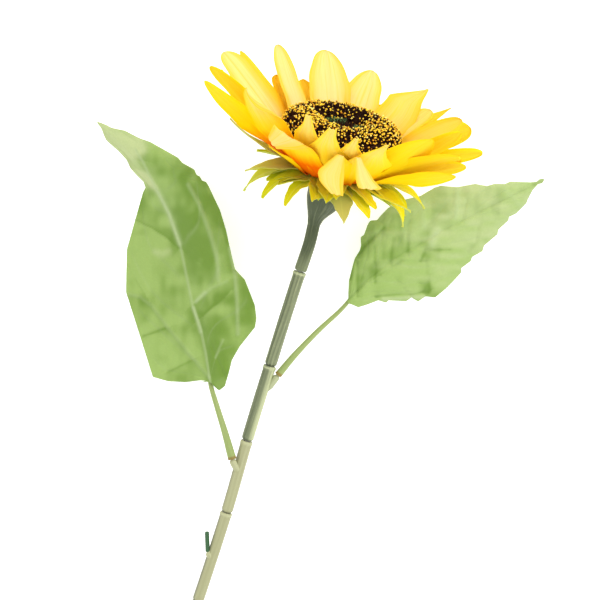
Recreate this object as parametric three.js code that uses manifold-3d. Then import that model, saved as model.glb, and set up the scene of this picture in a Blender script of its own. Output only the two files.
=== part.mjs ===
// Artificial cut sunflower lying on its side, in millimetres, with +Z up from the surface that it lies on.
// The stem runs along Y, the head is at the +Y end, and the face of the head looks along +Y and up.
import * as THREE from "three";
import { mergeVertices } from "three/addons/utils/BufferGeometryUtils.js";
import Module from "manifold-3d";

const wasm = await Module();
wasm.setup();

// ---- Driving dimensions ----
const ORIGIN = [10.54, -35.475, 0.54]; // layout point under the middle of everything, at the lowest spot

const HEAD = {
  centre: [20.9, 84.5, 59], // middle of the disc's rim
  axis: [0.191, 0.9, 0.391], // the way the flower faces
  right: [0.978, -0.208, 0], // azimuth 0; azimuth 90 is the side turned up from the surface
};

const DISC = {
  crest: 4.9, base: -18.6, baseRadius: 18.5, hole: 12.8, segments: 30,
  // Radius, and height over the crest, from the outer wall over the rim and down into the hole
  outline: [[27.8, -13], [29.6, -8.5], [28.9, -5], [26.2, -2], [23, -0.2], [18, -0.3], [14.6, -2], [12.8, -4.2]],
};
const CENTRE_PAD = { radius: 12.4, base: -18.6, shoulder: -1, edge: [10.4, 0.2], top: 0.6, segments: 20 };
const HOLDER = {
  plateRadius: 17, plateTop: -18.9, plateBottom: -20.1, pinRadius: 2.1, pinEnd: -31, pinNose: [1.5, 1], segments: 20,
};

const PETAL = { thickness: 0.4, rootRadius: 7, clampRadius: 20, rootWidth: 1.8, clampWidth: 5.4, foldSpan: 0.15 };
// A petal widens from base to its full width at swellEnd, and rounds off from roundStart to its tip
const PETAL_OUTLINE = {
  base: 0.36, swellEnd: 0.6, swellPower: 1.5, roundStart: 0.5, roundPower: 2.4, roundRoot: 0.62, least: 0.04,
};
/** A petal: azimuth of its root, reach and lift of its tip, width, and how it bends. Drift turns the tip's
 * azimuth, roll turns it around its own length, and a fold turns what lies past foldAt outwards. */
const petal = (azimuth, reach, lift, width, shape = {}) => ({
  azimuth, reach, lift, width, arch: 3, drift: 0, roll: 0, cup: 0.12, fold: 0, foldAt: 0.6, ...shape,
});
const PETAL_ROWS = {
  petal_inner: {
    level: -20.6,
    petals: [
      petal(20, 59, 19, 15, { arch: -7, drift: 2, roll: 15, cup: 0.2 }),
      petal(46, 55, 15, 13, { arch: -9, drift: -3, roll: 10, cup: 0.2 }),
      petal(84, 58, 14, 12, { arch: 3, drift: -1 }),
      petal(107, 58, 19, 11, { arch: -3 }),
      petal(143, 57, 20, 13, { arch: -4, drift: 1, roll: -20, cup: 0.2 }),
      petal(168, 69, 20, 13, { roll: -30, cup: 0.2 }),
      petal(198, 69, 17, 13, { cup: 0.15 }),
      petal(230, 64, 19, 12, { drift: 2 }),
      petal(257, 66, 17, 19, { arch: 5 }),
      petal(279, 68, 9.6, 18, { arch: 7, drift: -1 }),
      petal(304, 70, 8.5, 19, { arch: 7, drift: -1, cup: 0.05 }),
      petal(342, 61, 9, 16, { arch: 6, drift: 2, roll: -10 }),
    ],
  },
  petal_middle: {
    level: -21.6,
    petals: [
      petal(10, 69, 5, 16, { arch: 5, drift: 2, cup: 0.15 }),
      petal(33, 65, 7, 14, { cup: 0.15 }),
      petal(71, 60, 14, 13, { arch: -4 }),
      petal(94, 60, 15, 12, { arch: -6, cup: 0.08 }),
      petal(124, 59, 10, 14, { arch: -2, fold: 60, foldAt: 0.75 }),
      petal(156, 73, 16, 14, { arch: -3, roll: -35, cup: 0.15 }),
      petal(182, 66, 9, 13, { arch: -2 }),
      petal(208, 68, 15, 10, { arch: 1, cup: 0.05 }),
      petal(243, 58, 2, 14, { arch: 5 }),
      petal(267, 60, 0, 15, { arch: 5 }),
      petal(291, 62, -1, 15, { arch: 5 }),
      petal(316, 71, 3, 11, { arch: 4, drift: 1 }),
      petal(346, 65, 1, 15, { arch: 5 }),
    ],
  },
  petal_outer: {
    level: -22.6,
    petals: [
      petal(28, 69, 0, 14, { drift: 1 }),
      petal(47, 64, -3, 14),
      petal(75.5, 56, 7, 12.4, { arch: -3, fold: 105, foldAt: 0.58 }),
      petal(95.5, 56, 7, 12.4, { arch: -3, fold: 105, foldAt: 0.58 }),
      petal(140, 42, -9, 13),
      petal(187, 52, -4, 12, { arch: 1, cup: 0.05 }),
      petal(223, 50, 3, 9, { arch: 1, cup: 0.05 }),
      petal(262, 52, -8, 15, { arch: 5 }),
      petal(308, 56, -9, 15, { arch: 5 }),
    ],
  },
};

const CALYX = { thickness: 0.5, hole: 2.6, hub: 11.5, valley: 20, bendLength: 9 };
// Each sepal: azimuth, length from the hub's middle and droop
const CALYX_RINGS = {
  calyx_upper: {
    level: -23.7,
    sepals: [[2, 46, 14], [29, 50, 4], [47, 43, 3], [68, 40, 4], [88, 40, 3], [108, 40, 4], [128, 42, 4],
      [149, 48, 1], [168, 60, -16], [200, 42, 6], [228, 40, 8], [256, 38, 8], [284, 38, 8], [330, 42, 12]],
  },
  calyx_lower: {
    level: -24.8,
    sepals: [[14, 44, 20], [35, 48, 17], [56, 41, 12], [76, 42, 21], [98, 38, 14], [119, 42, 19],
      [140, 42, 24], [158, 46, 22], [184, 42, 22], [214, 40, 24], [242, 38, 24], [270, 38, 24],
      [306, 40, 24], [342, 42, 22]],
  },
};

const NECK_LINE = [[16, 61.45, 49], [14.8, 55.8, 46.5], [10.8, 48, 42.9], [7.7, 40.6, 39.4],
  [4.6, 28, 36.9]];
const JOINTS = [[0, 14.2, 35.1], [-15, -32.8, 28], [-26.7, -70.8, 22.3], [-37.2, -107.4, 16.9],
  [-52.2, -153.6, 9.9], [-67.2, -198.6, 3.15]];
const STEM = { radius: 2.95, rim: 0.15, rimLength: 2.2, roundIn: 0.55, roundLength: 0.8, jointGap: 0.3,
  sides: 16, step: 14 };
const WIRE = { radius: 1.3, bore: 1.75, start: 10, end: 1.2, sides: 8 };
const NECK = { pinBore: 2.7, pinBoreDepth: 8, end: 31, rounding: 2 };
// Funnel of the neck: distance down from its mouth, and radius
const FUNNEL = [[0, 11], [6, 10.8], [11, 9.8], [15, 8.4], [18.5, 6.8], [22, 5], [25, 3.7], [28, 3]];

const RIGHT_STALK = {
  line: [[-11, -37.6, 27], [-3, -28, 28.3], [8.5, -16, 26.4], [21, -4.5, 22.5]],
  footRadius: 1.85, neckRadius: 1.45, tipRadius: 0.6,
};
const LEFT_STALK = {
  line: [[-34, -80.1, 24.7], [-37.6, -67, 24.8], [-41.8, -54, 21.4], [-45.2, -43, 17.1]],
  footRadius: 2.15, neckRadius: 1.6, tipRadius: 0.6,
};
const STALK = {
  bore: 1.3, boreDepth: 5.5, sides: 12, step: 7, neckAt: 0.25, underBlade: 1.6, spine: [0.1, 0.2, 0.3],
};

const BOSS = { radius: 1.75, peg: 0.95, sides: 12 };
const RIGHT_BOSS = [[-17.4, -45.6, 26.2], [-13.2, -40.6, 26.8], [-11.2, -37.9, 27], [-8.4, -34.3, 27.5]];
const LEFT_BOSS = [[-30.6, -86, 20.6], [-33.1, -82.8, 23.8], [-33.85, -80.75, 24.6], [-35, -76.4, 24.8]];
const SPARE_BOSS = [[-43.3, -132.4, 13.2], [-46, -129.2, 15], [-46.85, -126.6, 15.4]];
const SPARE_PEG = {
  line: [[-46.85, -127.6, 15.3], [-47.2, -117.4, 16]], radius: 1.1, chamfer: 0.4, socket: 1.42, socketFloor: -0.3,
  socketDepth: 3.6,
};

const BLADE = { thickness: 0.5, rows: 16, halfColumns: 4 };
const RIGHT_BLADE = {
  midrib: [[23.8, -1, 24.6], [27.8, 3.5, 26], [35, 12, 26.6], [46, 22, 26], [59, 30, 24], [72.7, 37.3, 21],
    [86.5, 44, 17], [101.5, 49.7, 12], [115, 56, 6.5], [125.3, 62.1, 1.8]],
  left: [[24.3, 0, 24.6], [25.3, 7.6, 28], [26.4, 17.5, 29], [32, 31, 28], [43, 44.5, 26], [60, 54, 23],
    [76.5, 57.3, 19], [93.5, 58, 15], [111.3, 60, 8.5], [125.2, 62.4, 1.8]],
  right: [[25, -2, 24.4], [33, -3.5, 21], [46, -1.5, 14], [66, 0.5, 7.5], [81.7, 12.2, 3.5],
    [92.5, 24, 2], [102.8, 35.3, 1.2], [111.6, 44.7, 1.2], [118.8, 51.9, 1.2], [125.5, 61.8, 1.8]],
  bulge: [2, 2],
};
const LEFT_BLADE = {
  midrib: [[-44.9, -41.9, 19.4], [-46, -36.5, 19], [-47.5, -26.3, 18], [-50.5, -12.7, 16], [-54.7, 0, 14],
    [-59.4, 21.3, 12], [-65.5, 42.2, 11.5], [-72.5, 57, 11.5], [-81.3, 68.5, 10.5], [-91.7, 80, 7],
    [-104.2, 91.4, 1.6]],
  left: [[-46.2, -42.4, 19.4], [-61.8, -42.6, 12], [-75, -38.2, 6], [-81.7, -20.5, 2.6], [-87, -3, 1.2],
    [-89.4, 15.4, 0.9], [-86.7, 35.8, 1.8], [-79.9, 55.8, 5], [-83.5, 65, 6], [-91.7, 75.7, 4.5],
    [-104.4, 91.2, 1.6]],
  right: [[-43.5, -43.3, 19.6], [-38.7, -45.8, 21.5], [-35.2, -36.2, 25], [-30, -25, 28], [-22.5, -11, 29.5],
    [-26.5, 6, 30.5], [-34.6, 27.1, 30], [-43.2, 51.2, 27], [-55.5, 66.6, 22], [-74.5, 79, 13],
    [-104, 91.7, 1.6]],
  bulge: [-2, 4],
};

// ---- Frames ----
const toVector = (point) => new THREE.Vector3(...point);
const UP = new THREE.Vector3(0, 0, 1);
const headAxis = toVector(HEAD.axis).normalize();
const headFront = toVector(HEAD.right).cross(headAxis).normalize();
const headRight = headAxis.clone().cross(headFront);

/** Point of the head at a radius and azimuth around its axis and a height along it. */
function headPoint(radius, azimuth, height) {
  const angle = THREE.MathUtils.degToRad(azimuth);
  return toVector(HEAD.centre)
    .addScaledVector(headRight, radius * Math.cos(angle))
    .addScaledVector(headFront, radius * Math.sin(angle))
    .addScaledVector(headAxis, height);
}

// ---- Geometry from grids and profiles ----
function indexedGeometry(points, index) {
  const geometry = new THREE.BufferGeometry();
  geometry.setAttribute("position", new THREE.Float32BufferAttribute(points.flatMap((p) => p.toArray()), 3));
  geometry.setIndex(index);
  geometry.computeVertexNormals();
  return geometry;
}

/** Closed sheet of one thickness around a grid of points. A wrapped grid's last column joins its first. */
function sheetGeometry(grid, thickness, wrapped = false) {
  const rows = grid.length;
  const columns = grid[0].length;
  const at = (i, j) => grid[i][wrapped ? (j + columns) % columns : Math.min(Math.max(j, 0), columns - 1)];
  const upper = [];
  const lower = [];
  for (let i = 0; i < rows; i++) {
    for (let j = 0; j < columns; j++) {
      const along = at(Math.min(i + 1, rows - 1), j).clone().sub(at(Math.max(i - 1, 0), j));
      const across = at(i, j + 1).clone().sub(at(i, j - 1));
      const half = along.cross(across).setLength(thickness / 2);
      upper.push(grid[i][j].clone().add(half));
      lower.push(grid[i][j].clone().sub(half));
    }
  }
  const count = rows * columns;
  const index = [];
  const quad = (a, b, c, d) => index.push(a, b, c, a, c, d);
  const spans = wrapped ? columns : columns - 1;
  for (let i = 0; i < rows - 1; i++) {
    for (let j = 0; j < spans; j++) {
      const next = (j + 1) % columns;
      const [a, b, c, d] = [i * columns + j, (i + 1) * columns + j, (i + 1) * columns + next, i * columns + next];
      quad(a, b, c, d);
      quad(a + count, d + count, c + count, b + count);
    }
    if (!wrapped) {
      const [first, last] = [i * columns, (i + 1) * columns - 1];
      quad(first, first + count, first + columns + count, first + columns);
      quad(last, last + columns, last + columns + count, last + count);
    }
  }
  for (let j = 0; j < spans; j++) {
    const next = (j + 1) % columns;
    const end = (rows - 1) * columns;
    quad(j, next, next + count, j + count);
    quad(end + j, end + j + count, end + next + count, end + next);
  }
  return indexedGeometry([...upper, ...lower], index);
}

/** Closed solid of round sections along a curve. The profile holds [station, radius] pairs, and either it
 * starts and ends at radius 0 or its last section joins its first. */
function sweptGeometry(curve, profile, sides) {
  const length = curve.getLength();
  const points = [];
  const rings = profile.map(([station, radius]) => {
    const at = THREE.MathUtils.clamp(station / length, 0, 1);
    const tangent = curve.getTangentAt(at);
    const centre = curve.getPointAt(at).addScaledVector(tangent, station - at * length);
    const side = tangent.clone().cross(UP).normalize();
    const top = tangent.clone().cross(side);
    const first = points.length;
    const count = radius > 0 ? sides : 1;
    for (let k = 0; k < count; k++) {
      const angle = (2 * Math.PI * k) / sides;
      points.push(centre.clone()
        .addScaledVector(side, radius * Math.cos(angle))
        .addScaledVector(top, radius * Math.sin(angle)));
    }
    return (k) => first + (k % count);
  });
  if (profile[0][1] > 0) rings.push(rings[0]);
  const index = [];
  for (let i = 0; i < rings.length - 1; i++) {
    const [near, far] = [rings[i], rings[i + 1]];
    for (let k = 0; k < sides; k++) {
      if (near(k) !== near(k + 1)) index.push(near(k), near(k + 1), far(k + 1));
      if (far(k) !== far(k + 1)) index.push(near(k), far(k + 1), far(k));
    }
  }
  return indexedGeometry(points, index);
}

/** Evenly spaced [station, radius] pairs from one station to another, ends included. */
function evenStations(from, to, step, radiusAt) {
  const count = Math.max(1, Math.round((to - from) / step));
  return Array.from({ length: count + 1 }, (_, i) => {
    const station = from + ((to - from) * i) / count;
    return [station, radiusAt(station)];
  });
}

/** Solid of revolution around the head's axis, from [radius, height] pairs that go up the outside. */
function headLathe(profile, segments) {
  const geometry = new THREE.LatheGeometry(profile.map(([x, y]) => new THREE.Vector2(x, y)), segments);
  const turn = new THREE.Matrix4().makeBasis(headRight, headAxis, headFront);
  return geometry.applyMatrix4(turn.setPosition(toVector(HEAD.centre)));
}

function toManifold(geometry) {
  const bare = geometry.clone();
  bare.deleteAttribute("normal");
  bare.deleteAttribute("uv");
  const merged = mergeVertices(bare);
  return new wasm.Manifold(new wasm.Mesh({
    numProp: 3,
    vertProperties: new Float32Array(merged.attributes.position.array),
    triVerts: new Uint32Array(merged.index.array),
  }));
}

function fromManifold(solid) {
  const { vertProperties, triVerts } = solid.getMesh();
  const geometry = new THREE.BufferGeometry();
  geometry.setAttribute("position", new THREE.BufferAttribute(vertProperties, 3));
  geometry.setIndex(new THREE.BufferAttribute(triVerts, 1));
  geometry.computeVertexNormals();
  return geometry;
}

const curveThrough = (points) => {
  const curve = new THREE.CatmullRomCurve3(points.map(toVector), false, "centripetal");
  curve.arcLengthDivisions = 400;
  return curve;
};

// ---- Finishes ----
const finish = (color, roughness) => new THREE.MeshStandardMaterial({ color, roughness, metalness: 0 });
const petalFabric = finish(0xffc81e, 0.75);
const sepalFabric = finish(0xa8b41e, 0.75);
const leafFabric = finish(0x96b45a, 0.7);
const upperStemPlastic = finish(0x6e7855, 0.5);
const lowerStemPlastic = finish(0xc0c296, 0.5);
const stalkPlastic = finish(0xb0c47c, 0.5);
const pegPlastic = finish(0x2d5532, 0.5);
const bristle = finish(0x1e0f06, 0.9);
const centreBristle = finish(0x46643c, 0.9);
const steel = new THREE.MeshStandardMaterial({ color: 0x9a9a98, roughness: 0.35, metalness: 1 });

const layout = new THREE.Group();
function addPiece(name, geometry, material) {
  const mesh = new THREE.Mesh(geometry, material);
  mesh.name = name;
  layout.add(mesh);
}

// ---- Stem ----
const stemCurve = curveThrough([...NECK_LINE, ...JOINTS]);
/** Stations of the joints: distances along the stem's curve from the top of the neck. */
const jointStations = (() => {
  const parts = 100;
  const spans = NECK_LINE.length + JOINTS.length - 1;
  const lengths = stemCurve.getLengths(parts * spans);
  return JOINTS.map((_, i) => lengths[parts * (NECK_LINE.length + i)]);
})();
const stemLength = jointStations.at(-1);

function wireGeometry() {
  const { radius, start, end } = WIRE;
  const body = evenStations(start, stemLength + end, STEM.step / 2, () => radius);
  return sweptGeometry(stemCurve, [[start, 0], ...body, [stemLength + end, 0]], WIRE.sides);
}

function neckGeometry() {
  const end = jointStations[0] - STEM.jointGap / 2;
  const outside = [
    ...FUNNEL,
    ...evenStations(NECK.end, end - NECK.rounding, STEM.step, () => STEM.radius),
    [end, STEM.radius - STEM.roundIn],
  ];
  const inside = [
    ...evenStations(NECK.pinBoreDepth, end, STEM.step / 2, () => WIRE.bore).reverse(),
    [NECK.pinBoreDepth, NECK.pinBore], [0, NECK.pinBore],
  ];
  return sweptGeometry(stemCurve, [...outside, ...inside], STEM.sides);
}

/** Outside of a sleeve between two joints: a raised rim at its upper end and a rounded lower end. */
function sleeveProfile(from, to) {
  const { radius, rim, rimLength, roundIn, roundLength, jointGap, step } = STEM;
  const start = from + jointGap / 2;
  const end = to - jointGap / 2;
  return [
    [start, 0], [start, radius - rim], [start + rimLength / 4, radius + rim], [start + rimLength, radius + rim / 2],
    ...evenStations(start + 2 * rimLength, end - 3 * roundLength, step, () => radius),
    [end - roundLength, radius - roundIn / 3], [end, radius - roundIn], [end, 0],
  ];
}

/** A peg that grows out of the stem: a round boss, and a thinner peg past its shoulder. */
function bossGeometry(points, hasPeg) {
  const curve = curveThrough(points);
  const length = curve.getLength();
  const shoulder = hasPeg ? length - toVector(points.at(-1)).distanceTo(toVector(points.at(-2))) : length;
  const profile = [[0, 0], ...evenStations(0, shoulder, 2, () => BOSS.radius)];
  if (hasPeg) profile.push(...evenStations(shoulder, length, 2, () => BOSS.peg));
  return sweptGeometry(curve, [...profile, [length, 0]], BOSS.sides);
}

function sleeveGeometry(index, cut) {
  const [from, to] = [jointStations[index - 1], jointStations[index]];
  let solid = toManifold(sweptGeometry(stemCurve, sleeveProfile(from, to), STEM.sides));
  if (cut.boss) solid = solid.add(toManifold(bossGeometry(cut.boss, !cut.socket)));
  if (cut.socket) solid = solid.subtract(toManifold(cut.socket));
  const margin = 1;
  const bore = evenStations(from - margin, to + margin, STEM.step / 2, () => WIRE.bore);
  const boreSolid = sweptGeometry(stemCurve, [[from - margin, 0], ...bore, [to + margin, 0]], WIRE.sides);
  return fromManifold(solid.subtract(toManifold(boreSolid)));
}

function sparePegCurve() {
  return new THREE.LineCurve3(...SPARE_PEG.line.map(toVector));
}

function sparePegGeometry() {
  const curve = sparePegCurve();
  const length = curve.getLength();
  const { radius, chamfer } = SPARE_PEG;
  const profile = [[0, 0], [0, radius], [length - chamfer, radius], [length, radius - chamfer], [length, 0]];
  return sweptGeometry(curve, profile, BOSS.sides);
}

function spareSocketGeometry() {
  const { socket, socketFloor, socketDepth } = SPARE_PEG;
  const mouth = socketFloor + socketDepth;
  return sweptGeometry(sparePegCurve(), [[socketFloor, 0], [socketFloor, socket], [mouth, socket], [mouth, 0]],
    BOSS.sides);
}

// ---- Leaves ----
/** Point of a blade: s runs from its base to its tip, t from -1 at its left margin to 1 at its right one. */
function bladePoint(blade, s, t) {
  const middle = blade.midribCurve.getPoint(s);
  const margin = (t < 0 ? blade.leftCurve : blade.rightCurve).getPoint(s);
  const across = Math.abs(t);
  const bulge = blade.bulge[t < 0 ? 0 : 1] * 4 * across * (1 - across) * Math.sin(Math.PI * s);
  return middle.lerp(margin, across).addScaledVector(UP, bulge);
}

function preparedBlade(blade) {
  return {
    ...blade,
    midribCurve: curveThrough(blade.midrib),
    leftCurve: curveThrough(blade.left),
    rightCurve: curveThrough(blade.right),
  };
}

function bladeGeometry(blade) {
  const { thickness, rows, halfColumns } = BLADE;
  const grid = Array.from({ length: rows + 1 }, (_, i) =>
    Array.from({ length: 2 * halfColumns + 1 }, (__, j) => bladePoint(blade, i / rows, 1 - j / halfColumns)));
  return sheetGeometry(grid, thickness);
}

/** Leaf stalk: a hollow foot, a tapering stalk, and a spine that lies under the first third of the blade. */
function stalkGeometry(stalk, blade) {
  const { bore, boreDepth, sides, step, neckAt, underBlade } = STALK;
  const spine = STALK.spine.map((s) => bladePoint(blade, s, 0).addScaledVector(UP, -underBlade - BLADE.thickness));
  const curve = curveThrough([...stalk.line, ...spine.map((p) => p.toArray())]);
  const length = curve.getLength();
  const radiusAt = (station) => {
    const along = station / length;
    const { footRadius, neckRadius, tipRadius } = stalk;
    if (along < neckAt) return THREE.MathUtils.lerp(footRadius, neckRadius, along / neckAt);
    return THREE.MathUtils.lerp(neckRadius, tipRadius, (along - neckAt) / (1 - neckAt));
  };
  return sweptGeometry(curve, [
    [boreDepth, 0], [boreDepth, bore], [0, bore],
    ...evenStations(0, length, step, radiusAt), [length, 0],
  ], sides);
}

// ---- Head ----
function discCoreGeometry() {
  const { crest, base, baseRadius, hole, outline, segments } = DISC;
  const wall = outline.map(([radius, height]) => [radius, crest + height]);
  return headLathe([[hole, base], [baseRadius, base], ...wall, [hole, base]], segments);
}

function discCentreGeometry() {
  const { radius, base, shoulder, edge, top, segments } = CENTRE_PAD;
  return headLathe([[0, base], [radius, base], [radius, shoulder], edge, [0, top]], segments);
}

function discHolderGeometry() {
  const { plateRadius, plateTop, plateBottom, pinRadius, pinEnd, pinNose, segments } = HOLDER;
  const [noseRadius, noseLength] = pinNose;
  return headLathe([
    [0, pinEnd], [noseRadius, pinEnd], [pinRadius, pinEnd + noseLength], [pinRadius, plateBottom],
    [plateRadius, plateBottom], [plateRadius, plateTop], [0, plateTop],
  ], segments);
}

/** Share of a petal's full width at q, which runs from the clamp to the tip. */
function petalOutline(q) {
  const { base, swellEnd, swellPower, roundStart, roundPower, roundRoot, least } = PETAL_OUTLINE;
  const swell = base + (1 - base) * Math.sin((Math.PI / 2) * Math.min(1, q / swellEnd)) ** swellPower;
  const round = (1 - Math.max(0, (q - roundStart) / (1 - roundStart)) ** roundPower) ** roundRoot;
  return Math.max(least, swell * round);
}

/** Middle line of a petal past the clamp, as evenly spaced [radius, height] pairs. */
function petalPath({ reach, lift, arch, fold, foldAt }, level) {
  const parts = 60;
  const out = reach - PETAL.clampRadius;
  const up = lift - level;
  const slope = Math.atan2(up, out);
  const bend = THREE.MathUtils.degToRad(arch);
  const step = (Math.hypot(out, up) * bend) / Math.sin(bend) / parts;
  const path = [[PETAL.clampRadius, level]];
  for (let k = 0; k < parts; k++) {
    const q = (k + 0.5) / parts;
    const folded = THREE.MathUtils.smoothstep(q, foldAt, foldAt + PETAL.foldSpan);
    const angle = slope + bend * (1 - 2 * q) - THREE.MathUtils.degToRad(fold) * folded;
    const [radius, height] = path[k];
    path.push([radius + step * Math.cos(angle), height + step * Math.sin(angle)]);
  }
  return path;
}

/** Grid of a petal. It lies flat in the clamp, then follows its path to the tip. */
function petalGrid(shape, level) {
  const { rootRadius, clampRadius, rootWidth, clampWidth } = PETAL;
  const { azimuth, width, drift, roll, cup } = shape;
  const path = petalPath(shape, level);
  const spot = (q) => {
    const k = Math.round(q * (path.length - 1));
    return headPoint(path[k][0], azimuth + drift * q * q, path[k][1]);
  };
  const rowAt = (centre, tangent, halfWidth, cupping, turn) => {
    const twist = THREE.MathUtils.degToRad(turn);
    const outward = centre.clone().sub(toVector(HEAD.centre)).projectOnPlane(headAxis);
    const side = outward.cross(headAxis).normalize();
    const normal = side.clone().cross(tangent);
    const across = side.multiplyScalar(Math.cos(twist)).addScaledVector(normal, Math.sin(twist));
    const inward = across.clone().cross(tangent);
    return [1, 0.5, 0, -0.5, -1].map((t) => centre.clone()
      .addScaledVector(across, halfWidth * t)
      .addScaledVector(inward, halfWidth * cupping * t * t));
  };
  const grid = [0, 0.5].map((share) => {
    const radius = THREE.MathUtils.lerp(rootRadius, clampRadius, share);
    const half = THREE.MathUtils.lerp(rootWidth, clampWidth, share) / 2;
    const centre = headPoint(radius, azimuth, level);
    return rowAt(centre, headPoint(radius + 1, azimuth, level).sub(centre), half, 0, 0);
  });
  const steps = 6;
  const small = 1 / (path.length - 1);
  for (let i = 0; i <= steps; i++) {
    const q = i / steps;
    const tangent = spot(Math.min(1, q + small)).sub(spot(Math.max(0, q - small))).normalize();
    const half = Math.max(i === 0 ? clampWidth : 0, width * petalOutline(q)) / 2;
    grid.push(rowAt(spot(q), tangent, half, cup * Math.min(1, 3 * q), roll * Math.min(1, 2 * q)));
  }
  return grid;
}

/** Grid of a die-cut ring of sepals, a wrapped star whose points droop from the hub. */
function calyxGrid({ level, sepals }) {
  const { hole, hub, valley, bendLength } = CALYX;
  const count = sepals.length;
  const meanDroop = sepals.reduce((sum, [, , droop]) => sum + droop, 0) / count;
  const columns = [];
  sepals.forEach(([azimuth, length, droop], k) => {
    const before = sepals[(k - 1 + count) % count][0];
    const after = sepals[(k + 1) % count][0];
    const gapBefore = (((azimuth - before) % 360) + 360) % 360 / 2;
    const gapAfter = (((after - azimuth) % 360) + 360) % 360 / 2;
    for (const u of [-1, -0.45, 0, 0.45]) {
      const point = 1 - Math.abs(u);
      columns.push({
        azimuth: azimuth + u * (u < 0 ? gapBefore : gapAfter),
        length: valley + (length - valley) * point ** 1.25,
        droop: THREE.MathUtils.degToRad(THREE.MathUtils.lerp(meanDroop, droop, point)),
      });
    }
  });
  const profile = ({ droop }, arc) => {
    const bent = Math.max(0, arc - hub);
    const curl = Math.min(bent, bendLength);
    const straight = bent - curl;
    const turn = (droop * curl) / bendLength;
    const arcRadius = bendLength / droop;
    return [
      Math.min(arc, hub) + arcRadius * Math.sin(turn) + straight * Math.cos(droop),
      level - arcRadius * (1 - Math.cos(turn)) - straight * Math.sin(droop),
    ];
  };
  return [0, 0.25, 0.45, 0.7, 1].map((share) => columns.map((column) => {
    const [radius, height] = profile(column, THREE.MathUtils.lerp(hole, column.length, share));
    return headPoint(radius, column.azimuth, height);
  }));
}

// ---- Assembly ----
function addStem() {
  addPiece("stem_wire", wireGeometry(), steel);
  addPiece("neck_cup", neckGeometry(), upperStemPlastic);
  addPiece("stem_sleeve_1", sleeveGeometry(1, {}), upperStemPlastic);
  addPiece("stem_sleeve_2", sleeveGeometry(2, { boss: RIGHT_BOSS }), upperStemPlastic);
  addPiece("stem_sleeve_3", sleeveGeometry(3, { boss: LEFT_BOSS }), lowerStemPlastic);
  addPiece("stem_sleeve_4", sleeveGeometry(4, { boss: SPARE_BOSS, socket: spareSocketGeometry() }), lowerStemPlastic);
  addPiece("stem_sleeve_5", sleeveGeometry(5, {}), lowerStemPlastic);
  addPiece("spare_leaf_peg", sparePegGeometry(), pegPlastic);
}

function addLeaf(side, stalk, outline) {
  const blade = preparedBlade(outline);
  addPiece(`${side}_petiole`, stalkGeometry(stalk, blade), stalkPlastic);
  addPiece(`${side}_leaf_blade`, bladeGeometry(blade), leafFabric);
}

function addPetalRow(name, { level, petals }) {
  petals.forEach((shape, i) => {
    const number = String(i + 1).padStart(2, "0");
    addPiece(`${name}_${number}`, sheetGeometry(petalGrid(shape, level), PETAL.thickness), petalFabric);
  });
}

function addHead() {
  addPiece("disc_holder", discHolderGeometry(), pegPlastic);
  addPiece("disc_core", discCoreGeometry(), bristle);
  addPiece("disc_centre", discCentreGeometry(), centreBristle);
  Object.entries(PETAL_ROWS).forEach(([name, row]) => addPetalRow(name, row));
  Object.entries(CALYX_RINGS).forEach(([name, ring]) => {
    addPiece(name, sheetGeometry(calyxGrid(ring), CALYX.thickness, true), sepalFabric);
  });
}

addStem();
addLeaf("right", RIGHT_STALK, RIGHT_BLADE);
addLeaf("left", LEFT_STALK, LEFT_BLADE);
addHead();
layout.position.set(-ORIGIN[0], -ORIGIN[1], -ORIGIN[2]);

const group = new THREE.Group();
group.add(layout);
export default group;
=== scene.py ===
"""Finished looks of an artificial cut sunflower that lies on its side.

Shapes are worked out in millimetres in the layout frame that the solids use, with X to the right,
Y towards the head and Z up. Layout.metres turns them into the part's own frame when a mesh is made.
"""

import logging
import math
from dataclasses import asdict, dataclass, field
from enum import Enum
from typing import Callable, Dict, List, Sequence, Tuple

import bpy
import numpy as np
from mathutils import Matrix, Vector


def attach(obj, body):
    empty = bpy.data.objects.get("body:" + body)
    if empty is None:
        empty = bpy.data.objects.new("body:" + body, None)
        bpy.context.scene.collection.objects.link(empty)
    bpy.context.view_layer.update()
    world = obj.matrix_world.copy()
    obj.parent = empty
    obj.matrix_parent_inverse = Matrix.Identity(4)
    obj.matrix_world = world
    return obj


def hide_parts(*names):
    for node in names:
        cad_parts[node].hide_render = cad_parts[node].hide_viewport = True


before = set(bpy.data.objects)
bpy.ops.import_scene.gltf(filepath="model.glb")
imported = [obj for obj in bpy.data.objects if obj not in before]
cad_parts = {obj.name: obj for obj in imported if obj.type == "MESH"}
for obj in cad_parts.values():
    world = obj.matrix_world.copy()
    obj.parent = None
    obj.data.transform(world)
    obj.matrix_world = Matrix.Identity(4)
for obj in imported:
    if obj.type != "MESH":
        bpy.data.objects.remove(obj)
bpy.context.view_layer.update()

Array = np.ndarray
Pair = Tuple[float, float]
Point = Tuple[float, float, float]
Colour = Tuple[float, float, float]
Dye = Tuple[int, int, int]
Face = Tuple[int, ...]
Surface = Tuple[Array, Dict[str, object]]
Material = bpy.types.Material
Node = bpy.types.Node
Socket = bpy.types.NodeSocket

LOG = logging.getLogger("sunflower")
BODY = "root"
SHARP_DEGREES = 50.0
TINY = 1e-12


# ---- Small maths ----
def unit(vector: Array) -> Array:
    """Scales one vector, or an array of them along the last axis, to length 1."""
    length = np.linalg.norm(vector, axis=-1, keepdims=True)
    return vector / np.maximum(length, TINY)


def smoothstep(value: Array, low: float, high: float) -> Array:
    """Eases from 0 where the value is low to 1 where it is high."""
    share = np.clip((value - low) / (high - low), 0.0, 1.0)
    return share * share * (3.0 - 2.0 * share)


def bell(value: Array, width: float) -> Array:
    """Bell curve that is 1 at 0 and falls off within a width."""
    return np.exp(-((value / width) ** 2))


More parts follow.
